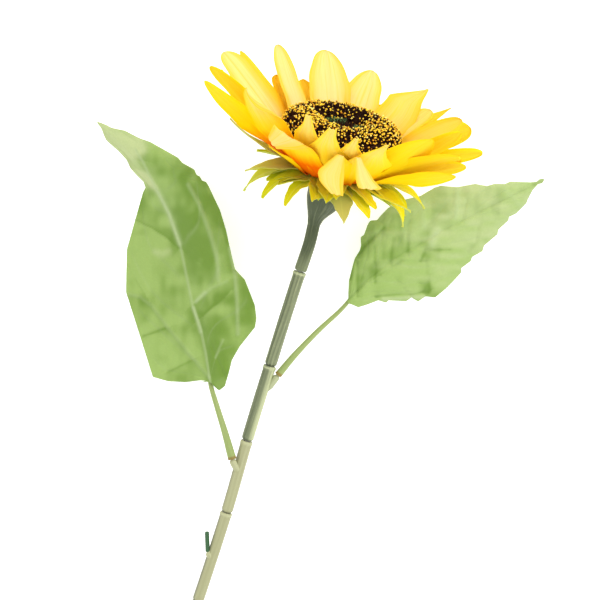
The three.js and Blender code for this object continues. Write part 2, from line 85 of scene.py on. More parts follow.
def value_noise(x: Array, y: Array, seed: int) -> Array:
    """Smooth random heights over a plane, one random value for each unit cell.

    Args:
        x: first coordinate, in cells.
        y: second coordinate, in cells.
        seed: picks the pattern.

    Returns:
        Values from about -1 to 1.
    """
    size = 64
    table = np.random.default_rng(seed).uniform(-1.0, 1.0, (size, size))
    x0, y0 = np.floor(x).astype(int), np.floor(y).astype(int)
    fx, fy = smoothstep(x - x0, 0, 1), smoothstep(y - y0, 0, 1)
    at = lambda i, j: table[i % size, j % size]
    low = at(x0, y0) * (1 - fx) + at(x0 + 1, y0) * fx
    high = at(x0, y0 + 1) * (1 - fx) + at(x0 + 1, y0 + 1) * fx
    return low * (1 - fy) + high * fy


def linear(colour: Sequence[int]) -> Colour:
    """Turns a screen colour of 0 to 255 into the linear colour that a shader takes."""
    shares = [max(0.0, c / 255.0) for c in colour]
    return tuple(c / 12.92 if c <= 0.04045 else ((c + 0.055) / 1.055) ** 2.4 for c in shares)


@dataclass(frozen=True)
class Layout:
    """Layout frame of the solids: the part's origin in it, in millimetres."""

    origin: Point = (10.54, -35.475, 0.54)

    def metres(self, points: Array) -> Array:
        """Turns layout points in millimetres into the part's frame in metres."""
        return (np.asarray(points, float) - np.array(self.origin)) * 0.001


LAYOUT = Layout()


class Spline:
    """Smooth curve through points, with knots spaced by the square root of their distances."""

    FINE = 60
    NUDGE = 1e-3
    CLOSEST = 1e-8

    def __init__(self, points: Sequence[Point]) -> None:
        """Keeps the points, adds one past each end and measures the curve.

        Args:
            points: what the curve goes through.
        """
        core = np.array(points, float)
        self.points = np.vstack([2 * core[0] - core[1], core, 2 * core[-1] - core[-2]])
        self.spans = len(core) - 1
        self._shares = np.linspace(0, 1, self.FINE * self.spans + 1)
        steps = np.linalg.norm(np.diff(self.at(self._shares), axis=0), axis=1)
        self._lengths = np.concatenate([[0.0], np.cumsum(steps)])

    @property
    def length(self) -> float:
        """Length of the curve in millimetres."""
        return float(self._lengths[-1])

    def at(self, share: Array) -> Array:
        """Points at shares of the curve's knots.

        Args:
            share: from 0 at the first point to 1 at the last, evenly split between the points.

        Returns:
            One point for each share.
        """
        place = np.clip(np.asarray(share, float), 0, 1) * self.spans
        first = np.minimum(np.floor(place).astype(int), self.spans - 1)
        w = (place - first)[..., None]
        p0, p1, p2, p3 = (self.points[first + k] for k in range(4))
        norm = lambda step: np.linalg.norm(step, axis=-1, keepdims=True)
        gap = lambda a, b: np.maximum(norm(b - a), self.CLOSEST) ** 0.5
        d0, d1, d2 = gap(p0, p1), gap(p1, p2), gap(p2, p3)
        t1 = ((p1 - p0) / d0 - (p2 - p0) / (d0 + d1) + (p2 - p1) / d1) * d1
        t2 = ((p2 - p1) / d1 - (p3 - p1) / (d1 + d2) + (p3 - p2) / d2) * d1
        c2 = -3 * p1 + 3 * p2 - 2 * t1 - t2
        c3 = 2 * p1 - 2 * p2 + t1 + t2
        return p1 + t1 * w + c2 * w**2 + c3 * w**3

    def station_of(self, knot: int) -> float:
        """Distance along the curve of one of its points."""
        return float(self._lengths[self.FINE * knot])

    def read(self, station: Array) -> Array:
        """Points at distances along the curve, held at its ends."""
        inside = np.clip(station, 0, self.length)
        return self.at(np.interp(inside, self._lengths, self._shares))

    def along(self, station: Array) -> Tuple[Array, Array]:
        """Points and directions at distances along the curve, straight on past its ends.

        Args:
            station: distances in millimetres.

        Returns:
            Points, and unit directions.
        """
        station = np.asarray(station, float)
        inside = np.clip(station, 0, self.length)
        step = self.length * self.NUDGE
        tangent = unit(self.read(inside + step) - self.read(inside - step))
        return self.read(inside) + tangent * (station - inside)[..., None], tangent


# ---- Meshes ----
def add_object(name: str, data: bpy.types.ID) -> bpy.types.Object:
    """Adds an object to the scene.

    Args:
        name: the object's name.
        data: its mesh, camera or light.

    Returns:
        The object.
    """
    thing = bpy.data.objects.new(name, data)
    bpy.context.scene.collection.objects.link(thing)
    return thing


@dataclass
class MeshDraft:
    """Points, faces and per-point values of a mesh that is being put together."""

    points: Array
    faces: List[Face]
    values: Dict[str, Array]

    def add(self, other: "MeshDraft") -> None:
        """Adds another draft's points, faces and values to this one.

        Args:
            other: the draft to add, with the same names of values.
        """
        start = len(self.points)
        self.points = np.vstack([self.points, other.points])
        self.faces.extend(tuple(i + start for i in face) for face in other.faces)
        for name, value in other.values.items():
            self.values[name] = np.concatenate([self.values[name], value])

    def make(self, name: str, material: Material) -> bpy.types.Object:
        """Makes the object, at the origin, with its place in its mesh.

        Args:
            name: the object's name.
            material: its only material.

        Returns:
            The new object.
        """
        mesh = bpy.data.meshes.new(name)
        mesh.from_pydata(LAYOUT.metres(self.points).tolist(), [], self.faces)
        mesh.validate()
        mesh.polygons.foreach_set("use_smooth", [True] * len(mesh.polygons))
        mesh.set_sharp_from_angle(angle=math.radians(SHARP_DEGREES))
        for label, value in self.values.items():
            layer = mesh.attributes.new(label, "FLOAT", "POINT")
            layer.data.foreach_set("value", value.astype(np.float32))
        mesh.materials.append(material)
        return add_object(name, mesh)


def ring_faces(rings: int, sides: int) -> List[Face]:
    """Faces between rings of points that follow each other.

    Args:
        rings: how many rings there are.
        sides: points in each ring.

    Returns:
        The faces, each of which turns from a ring towards the next one.
    """
    faces: List[Face] = []
    for i in range(rings - 1):
        for j in range(sides):
            k = (j + 1) % sides
            near, far = i * sides, (i + 1) * sides
            faces.append((near + j, near + k, far + k, far + j))
    return faces


def cloth_sheet(grid: Array, thickness: float, values: Dict[str, object],
                wrapped: bool = False) -> MeshDraft:
    """Closed sheet of cloth around a grid of points.

    Args:
        grid: points by row and column. Columns that turn towards the next row look at the sheet's
            inner face.
        thickness: the sheet's thickness, in millimetres.
        values: numbers for all grid points, rows, columns or points, copied to both faces.
        wrapped: whether the last column joins the first.

    Returns:
        The sheet, with a value named face that is 1 on its inner face and 0 on its outer one.
    """
    rows, columns, _ = grid.shape
    along = np.gradient(grid, axis=0)
    if wrapped:
        across = np.roll(grid, -1, axis=1) - np.roll(grid, 1, axis=1)
    else:
        across = np.gradient(grid, axis=1)
    normal = unit(np.cross(across, along))
    inner, outer = grid + normal * thickness / 2, grid - normal * thickness / 2
    count = rows * columns
    spans = columns if wrapped else columns - 1
    faces: List[Face] = []
    at = lambda i, j: i * columns + j % columns
    rim = lambda a, b: faces.append((b, a, a + count, b + count))
    for i in range(rows - 1):
        for j in range(spans):
            a, b, c, d = at(i, j), at(i, j + 1), at(i + 1, j + 1), at(i + 1, j)
            faces += [(a, b, c, d), (a + count, d + count, c + count, b + count)]
        if not wrapped:
            rim(at(i + 1, 0), at(i, 0))
            rim(at(i, columns - 1), at(i + 1, columns - 1))
    for j in range(spans):
        rim(at(0, j), at(0, j + 1))
        rim(at(rows - 1, j + 1), at(rows - 1, j))
    doubled = {name: np.tile(np.broadcast_to(value, (rows, columns)).reshape(-1), 2)
               for name, value in values.items()}
    doubled["face"] = np.repeat([1.0, 0.0], count)
    return MeshDraft(np.vstack([inner.reshape(-1, 3), outer.reshape(-1, 3)]), faces, doubled)


def swept_tube(curve: Spline, stations: Array, radius: Callable[[Array, Array], Array],
               sides: int) -> MeshDraft:
    """Closed tube along a curve.

    Args:
        curve: its middle line.
        stations: distances along the curve of its rings.
        radius: gives the radius from station and angle, where the angle is 0 at the tube's top.
        sides: points in each ring.

    Returns:
        The tube, with values named station and turn.
    """
    centre, tangent = curve.along(stations)
    side = unit(np.cross(tangent, np.array([0.0, 0.0, 1.0])))
    top = np.cross(side, tangent)
    turn = np.linspace(0, math.tau, sides, endpoint=False)
    station_grid, turn_grid = np.meshgrid(stations, turn, indexing="ij")
    reach = radius(station_grid, turn_grid)[..., None]
    ring = centre[:, None] + reach * (np.cos(turn)[None, :, None] * top[:, None]
                                      + np.sin(turn)[None, :, None] * side[:, None])
    points = np.vstack([ring.reshape(-1, 3), centre[:1], centre[-1:]])
    faces = ring_faces(len(stations), sides)
    near = len(stations) * sides
    last = near - sides
    for j in range(sides):
        k = (j + 1) % sides
        faces += [(near, k, j), (near + 1, last + j, last + k)]
    values = {
        "station": np.concatenate([station_grid.reshape(-1), stations[:1], stations[-1:]]),
        "turn": np.concatenate([turn_grid.reshape(-1) / math.tau, [0, 0]]),
    }
    return MeshDraft(points, faces, values)


def place(thing: bpy.types.Object, slot: str, nodes: Sequence[str]) -> None:
    """Lets a finished piece ride on the part and stand for its solids.

    Args:
        thing: the piece.
        slot: the name of a material slot; not used.
        nodes: the solids that it replaces.
    """
    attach(thing, BODY)
    if nodes:
        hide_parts(*nodes)
    stands_for = ", ".join(nodes) or "nothing"
    LOG.info("%s: %d faces, stands for %s", thing.name, len(thing.data.polygons), stands_for)


# ---- Materials ----
class NodeTree:
    """A tree of nodes, with short calls that add nodes and feed their inputs."""

    def __init__(self, tree: bpy.types.NodeTree) -> None:
        """Keeps the tree that the nodes go into."""
        self.tree = tree

    def node(self, kind: str, **inputs: object) -> Node:
        """Adds a node.

        Args:
            kind: its type, by its full name.
            inputs: values or sockets for its inputs, by name with _ for spaces.

        Returns:
            The node.
        """
        made = self.tree.nodes.new(kind)
        for name, value in inputs.items():
            self.feed(made.inputs[name.replace("_", " ")], value)
        return made

    def feed(self, socket: Socket, value: object) -> None:
        """Links an input to a socket, or sets its value.

        Args:
            socket: the input.
            value: the socket that it is linked to, or its value.
        """
        if isinstance(value, Socket):
            self.tree.links.new(value, socket)
        else:
            socket.default_value = value

    def math(self, operation: str, *terms: object) -> Socket:
        """One step of arithmetic.

        Args:
            operation: its name, such as SUBTRACT.
            terms: its one to three numbers or sockets.

        Returns:
            The result.
        """
        made = self.node("ShaderNodeMath")
        made.operation = operation
        for socket, term in zip(made.inputs, terms):
            self.feed(socket, term)
        return made.outputs[0]

    def plus(self, first: object, second: object) -> Socket:
        """Sum of two numbers or sockets."""
        return self.math("ADD", first, second)

    def times(self, first: object, second: object) -> Socket:
        """Product of two numbers or sockets."""
        return self.math("MULTIPLY", first, second)

    def scaled(self, value: object, by: float, more: object) -> Socket:
        """A number or socket times a factor, with a third one added."""
        return self.math("MULTIPLY_ADD", value, by, more)


class Graph(NodeTree):
    """Node tree of one material, with short calls for the nodes that the finishes share."""

    def __init__(self, name: str) -> None:
        """Makes the material with an empty tree and one output.

        Args:
            name: the material's name.
        """
        self.material = bpy.data.materials.new(name)
        self.material.use_nodes = True
        super().__init__(self.material.node_tree)
        self.tree.nodes.clear()
        self.output = self.node("ShaderNodeOutputMaterial")

    def place(self, scale: Point = (1, 1, 1)) -> Socket:
        """Object coordinates, stretched by a scale for each axis."""
        where = self.node("ShaderNodeTexCoord").outputs["Object"]
        return self.node("ShaderNodeMapping", Vector=where, Scale=scale).outputs["Vector"]

    def value(self, name: str) -> Socket:
        """A number that the mesh holds at each point.

        Args:
            name: the number's name.

        Returns:
            The number.
        """
        made = self.node("ShaderNodeAttribute")
        made.attribute_name = name
        return made.outputs["Fac"]

    def vector(self, x: object, y: object, z: object) -> Socket:
        """A vector of three numbers or sockets."""
        return self.node("ShaderNodeCombineXYZ", X=x, Y=y, Z=z).outputs["Vector"]

    def spread(self, value: object, low: float, high: float, to: Pair = (0, 1)) -> Socket:
        """Maps a range of a number smoothly to another range, held at its ends.

        Args:
            value: the number.
            low: the start of its range.
            high: the end of its range.
            to: what the two ends become.

        Returns:
            The mapped number.
        """
        made = self.node("ShaderNodeMapRange", Value=value, From_Min=low, From_Max=high,
                         To_Min=to[0], To_Max=to[1])
        made.interpolation_type = "SMOOTHSTEP"
        return made.outputs["Result"]

    def noise(self, vector: object, scale: float, detail: float = 2.0) -> Socket:
        """Noise from 0 to 1."""
        made = self.node("ShaderNodeTexNoise", Vector=vector, Scale=scale, Detail=detail)
        return made.outputs["Fac"]

    def mix(self, share: object, first: object, second: object, blend: str = "MIX") -> Socket:
        """Mixes two colours.

        Args:
            share: how much of the second.
            first: a screen colour of 0 to 255, or a socket.
            second: the same.
            blend: the way of mixing, such as MULTIPLY.

        Returns:
            The mixed colour.
        """
        made = self.node("ShaderNodeMix")
        made.data_type = "RGBA"
        made.blend_type = blend
        self.feed(made.inputs[0], share)
        for socket, colour in ((made.inputs[6], first), (made.inputs[7], second)):
            self.feed(socket, colour if isinstance(colour, Socket) else (*linear(colour), 1.0))
        return made.outputs[2]

    def ramp(self, share: object, places: Sequence[float], dyes: Sequence[Dye]) -> Socket:
        """Runs through colours.

        Args:
            share: where to read, from 0 to 1.
            places: where the colours stand.
            dyes: their screen colours of 0 to 255.

        Returns:
            The colour.
        """
        made = self.node("ShaderNodeValToRGB", Fac=share)
        elements = made.color_ramp.elements
        while len(elements) < len(places):
            elements.new(0.5)
        for element, where, dye in zip(elements, places, dyes):
            element.position = where
            element.color = (*linear(dye), 1.0)
        return made.outputs["Color"]

    def bump(self, height: object, distance: float, strength: float = 1.0) -> Socket:
        """Normal from a height, whose distance is in metres."""
        made = self.node("ShaderNodeBump", Height=height, Distance=distance, Strength=strength)
        return made.outputs["Normal"]

    def weave(self, pitch: float) -> Socket:
        """Height of a plain weave on Object coordinates.

        Args:
            pitch: from one thread to the next, in metres.

        Returns:
            The height, from 0 to 1.
        """
        threads = []
        for axis in ("X", "Y"):
            made = self.node("ShaderNodeTexWave", Vector=self.place(), Scale=math.pi / (10 * pitch),
                             Distortion=0.6)
            made.bands_direction = axis
            threads.append(made.outputs["Fac"])
        return self.math("MAXIMUM", *threads)

    def shader(self, colour: object, roughness: float, **more: object) -> Socket:
        """Shader of an opaque surface, with its other inputs by name with _ for spaces."""
        made = self.node("ShaderNodeBsdfPrincipled", Base_Color=colour, Roughness=roughness, **more)
        return made.outputs[0]

    def finish(self, shader: Socket) -> Material:
        """Ends the tree with a shader and returns the material."""
        self.feed(self.output.inputs["Surface"], shader)
        return self.material


@dataclass(frozen=True)
class ClothFinish:
    """Dyed polyester cloth: how rough, woolly and see-through it is, and how it is woven."""

    roughness: float = 0.62
    sheen: float = 0.05
    gloss: float = 0.12
    glow: float = 0.3
    thread: float = 0.00045
    thread_share: float = 0.12
    relief: float = 0.0002
    relief_strength: float = 0.5

    def shader(self, graph: Graph, colour: Socket, height: Socket) -> Socket:
        """Cloth shader, which lets some light of its own colour through.

        Args:
            graph: the material's tree.
            colour: the dye.
            height: height for the bump, from 0 to 1, over the depth of the relief.

        Returns:
            The shader.
        """
        woven = graph.scaled(graph.weave(self.thread), self.thread_share, height)
        normal = graph.bump(woven, self.relief, self.relief_strength)
        cloth = graph.shader(colour, self.roughness, Normal=normal, Sheen_Weight=self.sheen,
                             Specular_IOR_Level=self.gloss)
        light = graph.node("ShaderNodeBsdfTranslucent", Color=colour, Normal=normal)
        made = graph.node("ShaderNodeMixShader", Fac=self.glow)
        graph.feed(made.inputs[1], cloth)
        graph.feed(made.inputs[2], light.outputs[0])
        return made.outputs[0]


@dataclass(frozen=True)
class PetalFinish:
    """Petal cloth: lemon at the tips, golden in the middle and orange at the roots.

    The strong orange at the roots is partly the cloth's dye and partly painted shade, the lemon is
    partly the cloth's pale streaks and partly painted highlight, and the outer faces get brighter
    colours than the inner ones as painted light.
    """

    cloth: ClothFinish = ClothFinish(roughness=0.65, sheen=0.0, gloss=0.01, glow=0.25)
    streaks: Point = (9.0, 1.3, 3.0)
    ribs: Point = (26.0, 2.2, 2.0)
    steps: Tuple[float, ...] = (0.0, 0.1, 0.25, 0.6)
    # The strong orange at the roots is partly the cloth's dye and partly painted shade.
    root: Dye = (244, 112, 0)
    orange: Dye = (248, 158, 0)
    golden: Dye = (246, 190, 0)
    yellow: Dye = (246, 204, 22)
    # The outer faces' colours are brighter than the inner ones: painted light on faces that get
    # less light.
    back_orange: Dye = (251, 168, 0)
    back_golden: Dye = (255, 216, 0)
    back_yellow: Dye = (255, 226, 14)
    # Lemon: partly the cloth's pale streaks and partly painted highlight.
    lemon: Dye = (242, 222, 146)

    def fibres(self, graph: Graph, across: float, along: float, detail: float) -> Socket:
        """Noise that is drawn out along the petal.

        Args:
            graph: the material's tree.
            across: its pace from the middle line to an edge.
            along: its pace from the clamp to the tip.
            detail: how much fine noise it has.

        Returns:
            The noise, from 0 to 1.
        """
        where = graph.vector(graph.times(graph.value("across"), across),
                             graph.times(graph.value("along"), along), graph.value("seed"))
        return graph.noise(where, 1.0, detail)

    def bleached(self, graph: Graph, height: Socket, streaks: Socket) -> Socket:
        """How much lemon the cloth gets, partly its own pale streaks and partly painted highlight:
        most along its middle and on its inner face.

        Args:
            graph: the material's tree.
            height: how far up its run the dye is.
            streaks: noise along the petal.

        Returns:
            The share of lemon, from 0 to 1.
        """
        edge = graph.math("ABSOLUTE", graph.value("across"))
        middle = graph.spread(graph.scaled(streaks, 0.5, edge), 0.55, 1.25, (1.0, 0.25))
        on_back = graph.spread(graph.value("along"), 0.5, 0.95, (0.1, 0.85))
        shown = graph.math("MAXIMUM", graph.times(graph.value("face"), 0.95), on_back)
        lemon = graph.times(graph.value("pale"), middle)
        lemon = graph.times(lemon, graph.spread(height, 0.05, 0.4))
        lemon = graph.times(lemon, shown)
        return graph.times(lemon, graph.spread(streaks, 0.48, 0.68, (1.0, 0.55)))

    def make(self) -> Material:
        """Makes the material, which reads along, across, face, pale, seed and each petal's shift
        towards orange from the mesh. The shift is partly dye and partly painted shade.

        Returns:
            The material.
        """
        graph = Graph("petal_cloth")
        streaks, ribs = self.fibres(graph, *self.streaks), self.fibres(graph, *self.ribs)
        height = graph.scaled(graph.math("SUBTRACT", streaks, 0.5), 0.14, graph.value("along"))
        # Each petal's shift towards orange: partly dye and partly painted shade; below 0 it is
        # painted light.
        height = graph.math("SUBTRACT", height, graph.value("warm"))
        inner = graph.ramp(height, self.steps, (self.root, self.orange, self.golden, self.yellow))
        outer = graph.ramp(height, self.steps,
                           (self.root, self.back_orange, self.back_golden, self.back_yellow))
        body = graph.mix(graph.value("face"), outer, inner)
        colour = graph.mix(self.bleached(graph, height, streaks), body, self.lemon)
        # Painted shade: darker orange along the fine ribs, as in their grooves.
        groove_shade = graph.spread(ribs, 0.35, 0.75, (0.0, 0.12))
        colour = graph.mix(groove_shade, colour, self.golden, "MULTIPLY")
        return graph.finish(self.cloth.shader(graph, colour, ribs))


@dataclass(frozen=True)
class SepalFinish:
    """Sepal cloth: yellow-green on its face, pale and dusty on its back, with a lighter yellow on
    some sepal faces as painted light.
    """

    cloth: ClothFinish = ClothFinish(roughness=0.65, sheen=0.1, glow=0.3)
    mottle: float = 140.0
    face: Dye = (196, 202, 14)
    # Painted light: a lighter yellow for sepal faces that catch the light.
    bright: Dye = (242, 228, 20)
    back: Dye = (205, 215, 100)
    dry: Dye = (206, 204, 112)
    root: Dye = (160, 172, 18)
    rib: Dye = (222, 222, 120)

    def make(self) -> Material:
        """Makes the material, which reads along, across, face, dry and each sepal's share of
        painted light from the mesh.

        Returns:
            The material.
        """
        graph = Graph("sepal_cloth")
        along, across = graph.value("along"), graph.value("across")
        mottle = graph.noise(graph.place(), self.mottle, 3.0)
        # Painted light: each sepal's share of the lighter yellow, mottled.
        lit = graph.plus(graph.value("bright"), graph.scaled(mottle, 0.5, -0.25))
        top = graph.mix(graph.spread(lit, 0.1, 0.9), self.face, self.bright)
        colour = graph.mix(graph.value("face"), self.back, top)
        dried = graph.times(graph.value("dry"), graph.spread(along, 0.1, 0.5))
        colour = graph.mix(dried, colour, self.dry)
        colour = graph.mix(graph.spread(along, 0.1, 0.5, (0.3, 0.0)), colour, self.root)
        rib = graph.spread(graph.math("ABSOLUTE", across), 0.0, 0.16, (0.35, 0.0))
        return graph.finish(self.cloth.shader(graph, graph.mix(rib, colour, self.rib), mottle))


@dataclass(frozen=True)
class LeafFinish:
    """Leaf cloth: two greens, paler veins and a washed-out tip; the darker green also carries
    painted shade, and the washed-out colour also carries painted light.
    """

    cloth: ClothFinish = ClothFinish(roughness=0.6, sheen=0.12, glow=0.22)
    cloud: float = 38.0
    grain: float = 900.0
    green: Dye = (158, 184, 104)
    # Darker green: partly the cloth's own dye and partly painted shade.
    deep: Dye = (115, 147, 58)
    # Pale green: partly a washed-out tip and partly painted light.
    faded: Dye = (188, 200, 144)
    vein: Dye = (176, 194, 140)

    def make(self) -> Material:
        """Makes the material, which reads from the mesh the vein share, the share of washed-out
        colour and painted light, and the share of darker dye and painted shade.

        Returns:
            The material.
        """
        graph = Graph("leaf_cloth")
        cloud = graph.noise(graph.place(), self.cloud, 3.0)
        grain = graph.noise(graph.place(), self.grain, 2.0)
        # Darker green where the mesh asks: partly dye and partly painted shade.
        depth = graph.plus(graph.value("deep"), graph.scaled(cloud, 0.9, -0.45))
        colour = graph.mix(graph.spread(depth, -0.2, 0.9), self.green, self.deep)
        # Pale green where the mesh asks: partly a washed-out tip and partly painted light.
        fade = graph.plus(graph.value("fade"), graph.scaled(cloud, 0.3, -0.15))
        colour = graph.mix(graph.spread(fade, 0.0, 1.0), colour, self.faded)
        colour = graph.mix(graph.value("vein"), colour, self.vein)
        colour = graph.mix(graph.spread(grain, 0.3, 0.7, (0.0, 0.07)), colour, self.deep)
        return graph.finish(self.cloth.shader(graph, colour, grain))


@dataclass(frozen=True)
class PlasticFinish:
    """Moulded stem plastic: its dye, a darker and a lighter one, which also serve for painted shade
    and painted light, and how much it is streaked.
    """

    base: Dye = (68, 78, 48)
    dark: Dye = (46, 56, 32)
    light: Dye = (112, 120, 86)
    streaks: float = 0.8
    roughness: float = 0.5
    gloss: float = 0.4
    girth: float = 3.2
    pace: float = 0.035
    grain: float = 700.0
    relief: float = 0.0002
    relief_strength: float = 0.7

    def make(self, name: str) -> Material:
        """Makes the material, which reads station, turn and shade from the mesh.

        Args:
            name: the material's name.

        Returns:
            The material.
        """
        graph = Graph(name)
        turn = graph.times(graph.value("turn"), math.tau)
        around = graph.vector(graph.times(graph.math("COSINE", turn), self.girth),
                              graph.times(graph.math("SINE", turn), self.girth),
                              graph.times(graph.value("station"), self.pace))
        streak = graph.noise(around, 1.6, 3.0)
        grain = graph.noise(graph.place(), self.grain, 3.0)
        shade = graph.plus(graph.value("shade"), graph.scaled(streak, 0.5, -0.25))
        streaked = graph.spread(streak, 0.5, 0.72, (0.0, self.streaks))
        colour = graph.mix(streaked, self.base, self.light)
        # Painted shade towards the darker colour above 0, and painted light towards the lighter one
        # below 0.
        colour = graph.mix(graph.spread(shade, 0.1, 0.9), colour, self.dark)
        colour = graph.mix(graph.spread(shade, -0.9, -0.1, (1.0, 0.0)), colour, self.light)
        colour = graph.mix(graph.spread(grain, 0.55, 0.75, (0.0, 0.12)), colour, self.light)
        height = graph.plus(streak, graph.times(grain, 0.3))
        normal = graph.bump(height, self.relief, self.relief_strength)
        return graph.finish(graph.shader(colour, self.roughness, Normal=normal,
                                         Specular_IOR_Level=self.gloss))


@dataclass(frozen=True)
class BristleFinish:
    """Filaments of the disc: dark shafts whose tips are dyed."""

    shaft: Dye = (26, 13, 5)
    brown: Dye = (74, 34, 12)
    tip: Dye = (250, 205, 50)
    tip_pale: Dye = (255, 238, 130)
    tip_burnt: Dye = (205, 130, 25)
    steps: Tuple[float, ...] = (0.0, 0.35, 0.75, 1.0)
    mottle: float = 160.0
    roughness: float = 0.75
    gloss: float = 0.2

    def make(self, name: str) -> Material:
        """Makes the material, which reads tip and luck from the mesh.

        Args:
            name: the material's name.

        Returns:
            The material.
        """
        graph = Graph(name)
        dye = graph.ramp(graph.value("luck"), self.steps,
                         (self.tip_burnt, self.tip, self.tip, self.tip_pale))
        shaft = graph.mix(graph.noise(graph.place(), self.mottle), self.shaft, self.brown)
        colour = graph.mix(graph.spread(graph.value("tip"), 0.4, 0.62), shaft, dye)
        return graph.finish(graph.shader(colour, self.roughness, Specular_IOR_Level=self.gloss))


@dataclass(frozen=True)
class SteelFinish:
    """Drawn steel wire, scratched along its length."""

    colour: Dye = (168, 168, 165)
    scratched: Dye = (130, 130, 128)
    scratches: float = 2500.0
    stretch: Point = (1, 0.05, 1)
    roughness: float = 0.35
    depth: float = 0.00003

    def make(self) -> Material:
        """Makes the material.

        Returns:
            The material.
        """
        graph = Graph("drawn_steel")
        scratch = graph.noise(graph.place(self.stretch), self.scratches)
        colour = graph.mix(scratch, self.colour, self.scratched)
        return graph.finish(graph.shader(colour, self.roughness, Metallic=1.0,
                                         Normal=graph.bump(scratch, self.depth)))


# ---- Head ----
@dataclass(frozen=True)
class HeadFrame:
    """Where the flower's head is and the way it faces. Azimuth 90 is the side turned up."""

    centre: Point = (20.9, 84.5, 59.0)
    axis_hint: Point = (0.191, 0.9, 0.391)
    right_hint: Point = (0.978, -0.208, 0.0)

    @property
    def axis(self) -> Array:
        """Unit vector that the flower faces along."""
        return unit(np.array(self.axis_hint))

    @property
    def front(self) -> Array:
        """Unit vector of azimuth 90."""
        return unit(np.cross(np.array(self.right_hint), self.axis))

    @property
    def right(self) -> Array:
        """Unit vector of azimuth 0."""
        return np.cross(self.axis, self.front)

    def point(self, radius: Array, azimuth: Array, height: Array) -> Array:
        """Points of the head.

        Args:
            radius: distance from the axis.
            azimuth: turn around the axis, in degrees.
            height: distance along the axis from the disc's rim.

        Returns:
            Layout points.
        """
        parts = (np.asarray(part, float) for part in (radius, azimuth, height))
        radius, azimuth, height = np.broadcast_arrays(*parts)
        angle = np.radians(azimuth)[..., None]
        outward = np.cos(angle) * self.right + np.sin(angle) * self.front
        return np.array(self.centre) + radius[..., None] * outward + height[..., None] * self.axis


HEAD = HeadFrame()


class HeadCloth:
    """What petals and sepals share: a strip of stiff cloth around a middle line."""

    thickness: float

    def surface(self, level: float, seed: int) -> Surface:
        """Points of the strip and the values that its finish reads, which each kind works out."""
        raise NotImplementedError

    def sheet(self, level: float, seed: int) -> MeshDraft:
        """Closed cloth sheet of the strip, whose seed picks its waves and ribs."""
        grid, values = self.surface(level, seed)
        return cloth_sheet(grid, self.thickness, values)


class Tip(Enum):
    """Outline of a petal's end: where it starts to narrow, and the two powers of its curve."""

    ROUND = (0.55, 2.2, 0.5)
    OVAL = (0.3, 2.0, 0.5)
    POINTED = (0.35, 1.4, 1.0)
    BLUNT = (0.8, 3.0, 0.5)


